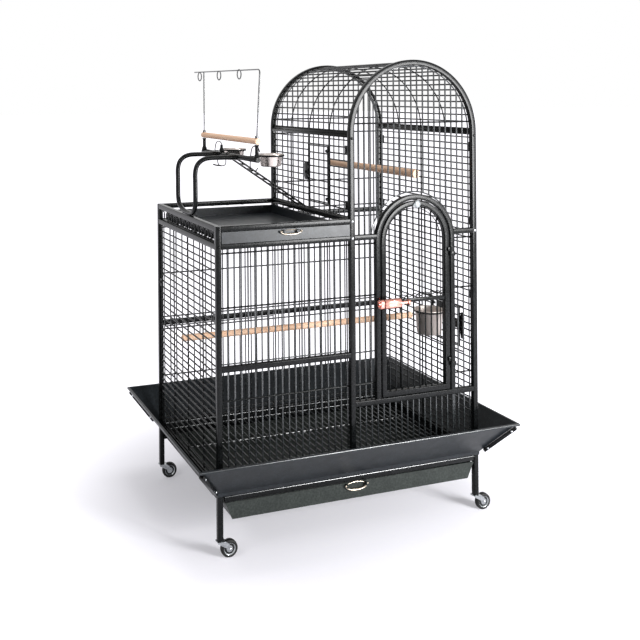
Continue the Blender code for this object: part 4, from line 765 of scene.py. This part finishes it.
stand += [hook(0.0915, [(-8, 0, -5), (-9, 0, -30), (-2, 0, -45), (14, 0, -47), (24, 0, -40), (25, 0, -22)]),
          hook(0.0915, [(-28, 0, -40), (-16, 0, -44), (6, 0, -47)], 0.0026),
          hook(-0.205, [(0, 0, -6), (0, 1, -26), (0, -17, -38), (0, -45, -39), (0, -63, -28)]),
          hook(-0.205, [(0, 29, -41), (0, 0, -42), (0, -23, -39)], 0.0028),
          turned([(3, 0), (7.8, 1), (8.5, 12), (5.5, 17), (5, 28), (TIP, 30)],
                 (BAR_X + 0.003, 0.08, BAR_Z + 0.007), sides=14)]
piece("play_stand_tubes", stand, POWDER_COAT, "play_stand")

# Wooden perches
# Turned and sanded dowels of pale hardwood, unfinished: one on the play stand and two in the cage, with a
# groove near one end that sits on a wire. The upper one is tapered and lies a little askew.
# Half lengths and end chamfer in millimetres.
STAND_END, UPPER_END, LOWER_END, CHAMFER = 274, 307.9, 505.2, 1.5


def dowel_wood(name, along):
    """Bare hardwood: long grain along one axis, pale with pinkish tan streaks and fine open pores."""
    squeeze = [1.0, 1.0, 1.0]
    squeeze[along] = 0.06

    def coat(tree, place):
        laid = node(tree, "Mapping", {"Vector": place, "Scale": squeeze})
        streak, haze, pore = [
            node(tree, "TexNoise", {"Vector": laid, "Scale": 1 / size, "Detail": detail, "Roughness": 0.65})
            for size, detail in ((0.006, 5.0), (0.003, 3.0), (0.0015, 4.0))]
        share = node(tree, "MapRange", {"Value": streak, "From Min": 0.3, "From Max": 0.7})
        rough = node(tree, "MapRange", {"Value": haze, "To Min": 0.55, "To Max": 0.75})
        bump = node(tree, "Bump", {"Height": pore, "Strength": 0.25, "Distance": 0.0003})
        return blended(tree, share, "#e4b08a", "#fbdcc1"), rough.outputs[0], bump.outputs[0]

    return finish(name, coat)


WOOD_ALONG_Y = dowel_wood("sanded_beech_across_the_cage", 1)
WOOD_ALONG_X = dowel_wood("sanded_beech_along_the_cage", 0)


def perch(name, profile, centre, axis, wood):
    """Dowel turned to a profile."""
    piece(f"{name}_dowel", [turned(profile, centre, axis)], wood, name)


perch("stand_perch", mirrored([(TIP, -STAND_END), (9.5, -STAND_END), (11, -STAND_END + CHAMFER)]),
      (BAR_X, 0, 1.395), (0, 1, 0), WOOD_ALONG_Y)
end = UPPER_END
perch("upper_perch", [
    (TIP, -end), (14, -end), (15.5, -end + CHAMFER), (15.5, -end + 11.5), (12.8, -end + 14),
    (12.8, -end + 19), (15.5, -end + 21.5), (12.5, end - CHAMFER), (11, end), (TIP, end)],
    (DOOR_X + 0.01, 0, 1.263), (-0.033, 1, 0), WOOD_ALONG_Y)
end = LOWER_END
perch("lower_perch", [
    (TIP, -end), (11, -end), (12.5, -end + CHAMFER), (12.5, end - 29), (10, end - 26.5),
    (10, end - 22), (12.5, end - 19.5), (12.5, end - CHAMFER), (11, end), (TIP, end)],
    (0, 0.075, HALFWAY_Z + 0.002), (1, 0, 0), WOOD_ALONG_X)

# Toy hook
# A 5 mm wire stands on each end of the perch. The front one bends over into a level bar that runs past the
# back one, and three long rings for toys hang on it.
HOOK_R, HOOK_Z, HOOK_FOOT_Z, HOOK_BEND = 0.0025, 1.646, 1.3965, 0.012
bend = arch(-0.28, HOOK_Z - HOOK_BEND, HOOK_BEND, BAR_X, 180, 90, 5)[:, [1, 0, 2]]
bar = np.concatenate([[(BAR_X, -PERCH_POST_Y, HOOK_FOOT_Z)], bend, [(BAR_X, 0.372, HOOK_Z + 0.006)]])
parts = [wire(bar, HOOK_R, 10), rods(BAR_X, PERCH_POST_Y, (HOOK_FOOT_Z, HOOK_Z + 0.005), HOOK_R, 10)]
turn = np.arange(24) * math.pi / 12
for y in (0.311, 0.094, -0.108):
    ring = np.stack([0.0075 * np.cos(turn), np.zeros(24), 0.017 * np.sin(turn)], 1)
    ring += (BAR_X, y, HOOK_Z - 0.013)
    parts.append(wire(ring, across=(0, 1, 0), closed=True))
parts += [turned([(2.8, -4), (6, -4), (6.6, 0), (6, 4), (2.8, 4)], (BAR_X, y, HOOK_FOOT_Z + 0.0135),
                 sides=16, closed=True) for y in (-PERCH_POST_Y, PERCH_POST_Y)]
piece("toy_hook_wire", parts, BARS_PAINTED_SHEEN_COAT, "toy_hook")

# Ladder
# Two round rails with ten welded rungs. Two wire hooks hang it over the crossbar, and it leans down to the
# dome's wall.
RAIL_Y, RUNG_R = 0.035, 0.0028
foot = np.array([MID_X - HALF - 0.006, RAIL_Y, RIM_Z + HALF + 0.006])
head = np.array([BAR_X + 0.03, RAIL_Y, BAR_Z - 0.012])
apart = np.array([[-RAIL_Y], [RAIL_Y]]) * (0, 1, 0)
step = (np.linalg.norm(foot - head) - 0.024) / 9
rung = head + unit(foot - head) * (0.012 + np.arange(10) * step)[:, None]
parts = [wire(np.stack([head + apart, foot + apart], 1), 0.0036, 10),
         rods(rung[:, 0], (rung[:, 1] - 0.036, rung[:, 1] + 0.036), rung[:, 2], RUNG_R)]
crook = np.concatenate([arch(BAR_X, BAR_Z, 0.0125, 0, 195, 15, 14), [(BAR_X + 0.03, 0, BAR_Z - 0.0115)]])
parts += [wire(crook + (0, y, 0)) for y in (0.0, 2 * RAIL_Y)]
piece("ladder_rails", parts, WIRE_COAT, "ladder", "ladder")

# Floor grate
# Slide-out grate of 4 mm wires from front to back, welded to four cross wires, with a folded front bar to
# pull it by.
x0, x1, y0, y1 = -0.4985, 0.4985, -0.329, 0.305
GRATE_Z = 0.204
cross_y, cross_z = [y0 + 0.004, -0.11, 0.11, y1 - BORDER_R], [0.2042, 0.1998, 0.1998, 0.2042]
parts = [rods(np.linspace(x0 + BORDER_R, x1 - BORDER_R, 40), (y0, y1), GRATE_Z),
         rods((x0, x1), cross_y, cross_z, BORDER_R),
         rods((x0 + 0.001, x1 - 0.001), y0 - 0.004, GRATE_Z + 0.0026, 0.0012)]
piece("floor_grate_wires", parts, BARS_PAINTED_SHEEN_COAT, "floor_grate", "floor_grate")
parts = [block((x0 + 0.0005, y0 - 0.004, GRATE_Z - 0.0145), (x1 - 0.0005, y0 + 0.006, GRATE_Z + 0.004),
               0.0018, 0)]
piece("floor_grate_front_bar", parts, POWDER_COAT, body="floor_grate")

# Seed skirt
# Four sloped guards of 1.2 mm sheet with a hemmed lip, mitred at the corners. A folded strap with bright
# screws closes each mitre.
SKIRT_SHEET = hammertone("hammertone_coat_on_skirt", "#111417", "#22272b", 0.006, 0.0001, 0.34, 0.26)
HALF_X, HALF_Y, SKIRT_Z = 0.5218, 0.3323, 0.21
HEM_X, HEM_Y, HEM_Z, HEM_R = 0.6235, 0.434, 0.3452, 0.0017
for name in ("front", "right", "back", "left"):
    dress(f"skirt_{name}", SKIRT_SHEET)
# The hems use the bars' lighter coat, a painted highlight along the top edge of each guard.
piece("skirt_hems", [rods((-HEM_X, HEM_X), [-HEM_Y, HEM_Y], HEM_Z, HEM_R),
                     rods([-HEM_X, HEM_X], (-HEM_Y, HEM_Y), HEM_Z, HEM_R)], BARS_PAINTED_SHEEN_COAT)

# A strap follows the mitre line between these distances out from the skirt's foot and up from it.
STRAP_OUT, STRAP_UP = (0.01, 0.089), (0.024, 0.1262)
screws = []
for corner, sx, sy in (("front_left", -1, -1), ("front_right", 1, -1), ("back_right", 1, 1),
                       ("back_left", -1, 1)):
    away = np.array([sx * 0.482, sy * 0.482, -0.732])
    low, high = [np.array([sx * (HALF_X + out), sy * (HALF_Y + out), SKIRT_Z + up]) + away * 0.007
                 for out, up in zip(STRAP_OUT, STRAP_UP)]
    path = low + (high - low) * np.array([0, 0.02, 0.98, 1])[:, None]
    strap = skin(carried(path, rounded(0.012, 0.018, 0.0015, 2), away, np.array([0.8, 1, 1, 0.8])))
    piece(f"corner_strap_{corner}", [strap], POWDER_COAT, f"skirt_strap_{corner}")
    flank = unit(np.cross(high - low, away))
    screws += [turned(DOME_HEAD * (0.85, 0.8), low + (high - low) * share + out * 0.0088, out, 14)
               for share in (0.13, 0.87) for out in (-flank, flank)]
piece("strap_screws", screws, ZINC)

# Casters
# Swivel casters: a stem in the leg, a zinc plated pressed fork with a hood, and a wheel with a black rubber
# tyre on a bright hub.
WHEEL_R, TRAIL = 0.03, 0.032


def moulded(tree, place):
    """Fine pitted relief that the mould leaves on the tyre."""
    pits = node(tree, "TexNoise", {"Vector": place, "Scale": 1 / 0.00111})
    return node(tree, "Bump", {"Height": pits, "Strength": 0.2, "Distance": 0.0003})


RUBBER = clouded("black_rubber_tyre", "#060606", "#161717", (0.00833, 4.0), (0.0025, 2.0), (0.45, 0.7),
                 moulded, Specular_IOR_Level=0.3)
tyre = mirrored([(20.5, -9), (24, -9.8), (27.2, -9.2), (29.2, -7), (30, -3.5)])
hub = mirrored([(TIP, -10.8), (5.5, -10.8), (6.2, -9), (11, -8.2), (12.4, -5), (16.8, -4.6), (18.6, -8),
                (20.6, -9.2)])
groove = np.array([(12.6, 4.9), (16.6, 4.5), (16.6, 5.8), (12.6, 6.2)])
for corner, x, y in (("front_left", LEFT_X, FRONT_Y), ("front_right", RIGHT_X, FRONT_Y),
                     ("back_left", LEFT_X, BACK_Y), ("back_right", RIGHT_X, BACK_Y)):
    hub_x, hub_z = x + TRAIL, WHEEL_R
    wheel = (hub_x, y, hub_z), (0, 1, 0)
    cheek = np.array([
        (x - 0.0115, 0.0578), (x - 0.0115, 0.0535), (x - 0.003, 0.0485), (hub_x - 0.013, hub_z + 0.006),
        (hub_x - 0.0055, hub_z - 0.002), (hub_x, hub_z - 0.006), (hub_x + 0.005, hub_z - 0.003),
        (hub_x + 0.0065, hub_z + 0.003), (hub_x - 0.004, hub_z + 0.02), (x + 0.0165, 0.0584)])
    fork = [block((x - 0.0118, y - 0.013, 0.0552), (x + 0.0168, y + 0.013, 0.0586), 0.001, 1),
            turned([(TIP, -3), (11, -3), (11, -0.8), (7.5, -0.4), (7.5, 0.7), (TIP, 0.7)], (x, y, 0.059),
                   sides=20)]
    for side in (-1, 1):
        inner = y + side * 0.0114
        rings = np.stack([np.insert(cheek, 1, inner + side * depth, 1) for depth in (0, 0.0018)])
        fork += [skin(rings[None]),
                 turned([(TIP, 0), (4.8, 0), (4.8, 0.8), (3.6, 1.6), (TIP, 1.8)],
                        (hub_x, inner + side * 0.0016, hub_z), (0, side, 0), 12)]
    body = f"caster_fork_{corner}"
    piece(f"caster_{corner}_fork", fork, ZINC, body, body)
    body = f"caster_wheel_{corner}"
    piece(f"caster_{corner}_tyre", [turned(tyre, *wheel, 36, closed=True)], RUBBER, body, body)
    piece(f"caster_{corner}_hub", [turned(hub, *wheel, 28)], ZINC, None, body)
    # Painted shade: a black ring on each face of the hub darkens it where its relief falls into shadow.
    rings = [turned(groove * (1, side), *wheel, 28, closed=True) for side in (-1, 1)]
    piece(f"caster_{corner}_painted_shade_rings", rings, RUBBER, None, body)

# Studio
# White floor and background, soft lamps from the left, the right and above. The camera stands where the
# photograph was taken from: level with the play stand, left of the cage.
scene = bpy.context.scene
scene.view_settings.view_transform = "Standard"


def seen_white(tree):
    """1 for rays from the camera, from a reflection or through glass, and 0 for the light on the object."""
    path = node(tree, "LightPath")
    mirror = node(tree, "Math", {0: path.outputs["Is Camera Ray"], 1: path.outputs["Is Glossy Ray"]},
                  operation="MAXIMUM")
    return node(tree, "Math", {0: mirror, 1: path.outputs["Is Transmission Ray"]}, operation="MAXIMUM")


world = bpy.data.worlds.new("studio_air")
world.use_nodes = True
scene.world = world
tree = world.node_tree
strength = node(tree, "MapRange", {"Value": seen_white(tree), "To Min": 0.4, "To Max": 1.0})
air = node(tree, "Background", {"Color": (1, 1, 1, 1), "Strength": strength})
tree.links.new(air.outputs[0], tree.nodes["World Output"].inputs["Surface"])

# The floor glows for the camera and in reflections, fully far from the cage and less near and under it: a
# painted shadow round the cage, added to the real shadow in its diffuse part.
paper = bpy.data.materials.new("white_paper_sweep")
paper.use_nodes = True
tree = paper.node_tree
tree.nodes.remove(tree.nodes["Principled BSDF"])
place = node(tree, "TexCoord").outputs["Object"]
fibre = node(tree, "TexNoise", {"Vector": place, "Scale": 1 / 0.025, "Detail": 3.0})
matt = node(tree, "BsdfDiffuse", {"Color": blended(tree, fibre, "#d6d5db", "#dad9df")})
centre = node(tree, "VectorMath", {0: place}, operation="LENGTH")
# Painted shadow: the glow fades from 1.5 m down to 0.5 m from the cage's middle.
painted_shadow_glow_ramp = node(tree, "MapRange", {"Value": centre.outputs["Value"], "From Min": 0.5, "From Max": 1.5,
                                "To Min": 0.28, "To Max": 1.05}, interpolation_type="SMOOTHSTEP")
lit = node(tree, "Math", {0: painted_shadow_glow_ramp, 1: seen_white(tree)}, operation="MULTIPLY")
glow = node(tree, "Emission", {"Color": linear("#fbfaff"), "Strength": lit})
both = node(tree, "AddShader", {0: matt, 1: glow})
tree.links.new(both.outputs[0], tree.nodes["Material Output"].inputs["Surface"])
mesh = bpy.data.meshes.new("studio_floor")
mesh.from_pydata([(-60, -60, 0), (60, -60, 0), (60, 60, 0), (-60, 60, 0)], [], [(0, 1, 2, 3)])
mesh.materials.append(paper)
floor = bpy.data.objects.new("studio_floor", mesh)
scene.collection.objects.link(floor)


def soft_lamp(name, at, aim, width, height, power):
    """Area lamp that looks from a place to another."""
    data = bpy.data.lights.new(name, "AREA")
    data.shape = "RECTANGLE"
    data.size, data.size_y = width, height
    data.energy = power
    lamp = bpy.data.objects.new(name, data)
    lamp.location = at
    lamp.rotation_euler = (Vector(aim) - Vector(at)).to_track_quat("-Z", "Y").to_euler()
    scene.collection.objects.link(lamp)


soft_lamp("key_from_the_left", (-3.4, -1.6, 3.4), (0, 0, 0.8), 1.4, 1.4, 35)
soft_lamp("front_right_box", (1.6, -3.05, 1.22), (1.6, 0, 1.22), 1.2, 1.2, 210)
soft_lamp("far_right_box", (2.75, -2.95, 1.22), (2.75, 0, 1.22), 1.0, 1.2, 34)
soft_lamp("top_light", (0.2, 0.4, 4.4), (0, 0, 0.5), 1.8, 1.8, 45)

# The camera's place, turn and lens are fitted to the corners of the frame in the photograph.
FOCAL_SHARE = 867 / 640
yaw, pitch, roll = np.radians((-18.46, -0.12, -0.41))
forward = np.array([-math.sin(yaw) * math.cos(pitch), math.cos(yaw) * math.cos(pitch), -math.sin(pitch)])
level_right = np.array([math.cos(yaw), math.sin(yaw), 0])
level_up = np.cross(level_right, forward)
data = bpy.data.cameras.new("camera")
data.sensor_width = 36.0
data.lens = FOCAL_SHARE * data.sensor_width
data.shift_x, data.shift_y = 0.228, -0.357
camera = bpy.data.objects.new("camera", data)
pose = np.eye(4)
pose[:3, 0] = level_right * math.cos(roll) + level_up * math.sin(roll)
pose[:3, 1] = level_up * math.cos(roll) - level_right * math.sin(roll)
pose[:3, 2], pose[:3, 3] = -forward, (-1.573, -3.047, 1.565)
camera.matrix_world = Matrix(pose.tolist())
scene.collection.objects.link(camera)
scene.camera = camera
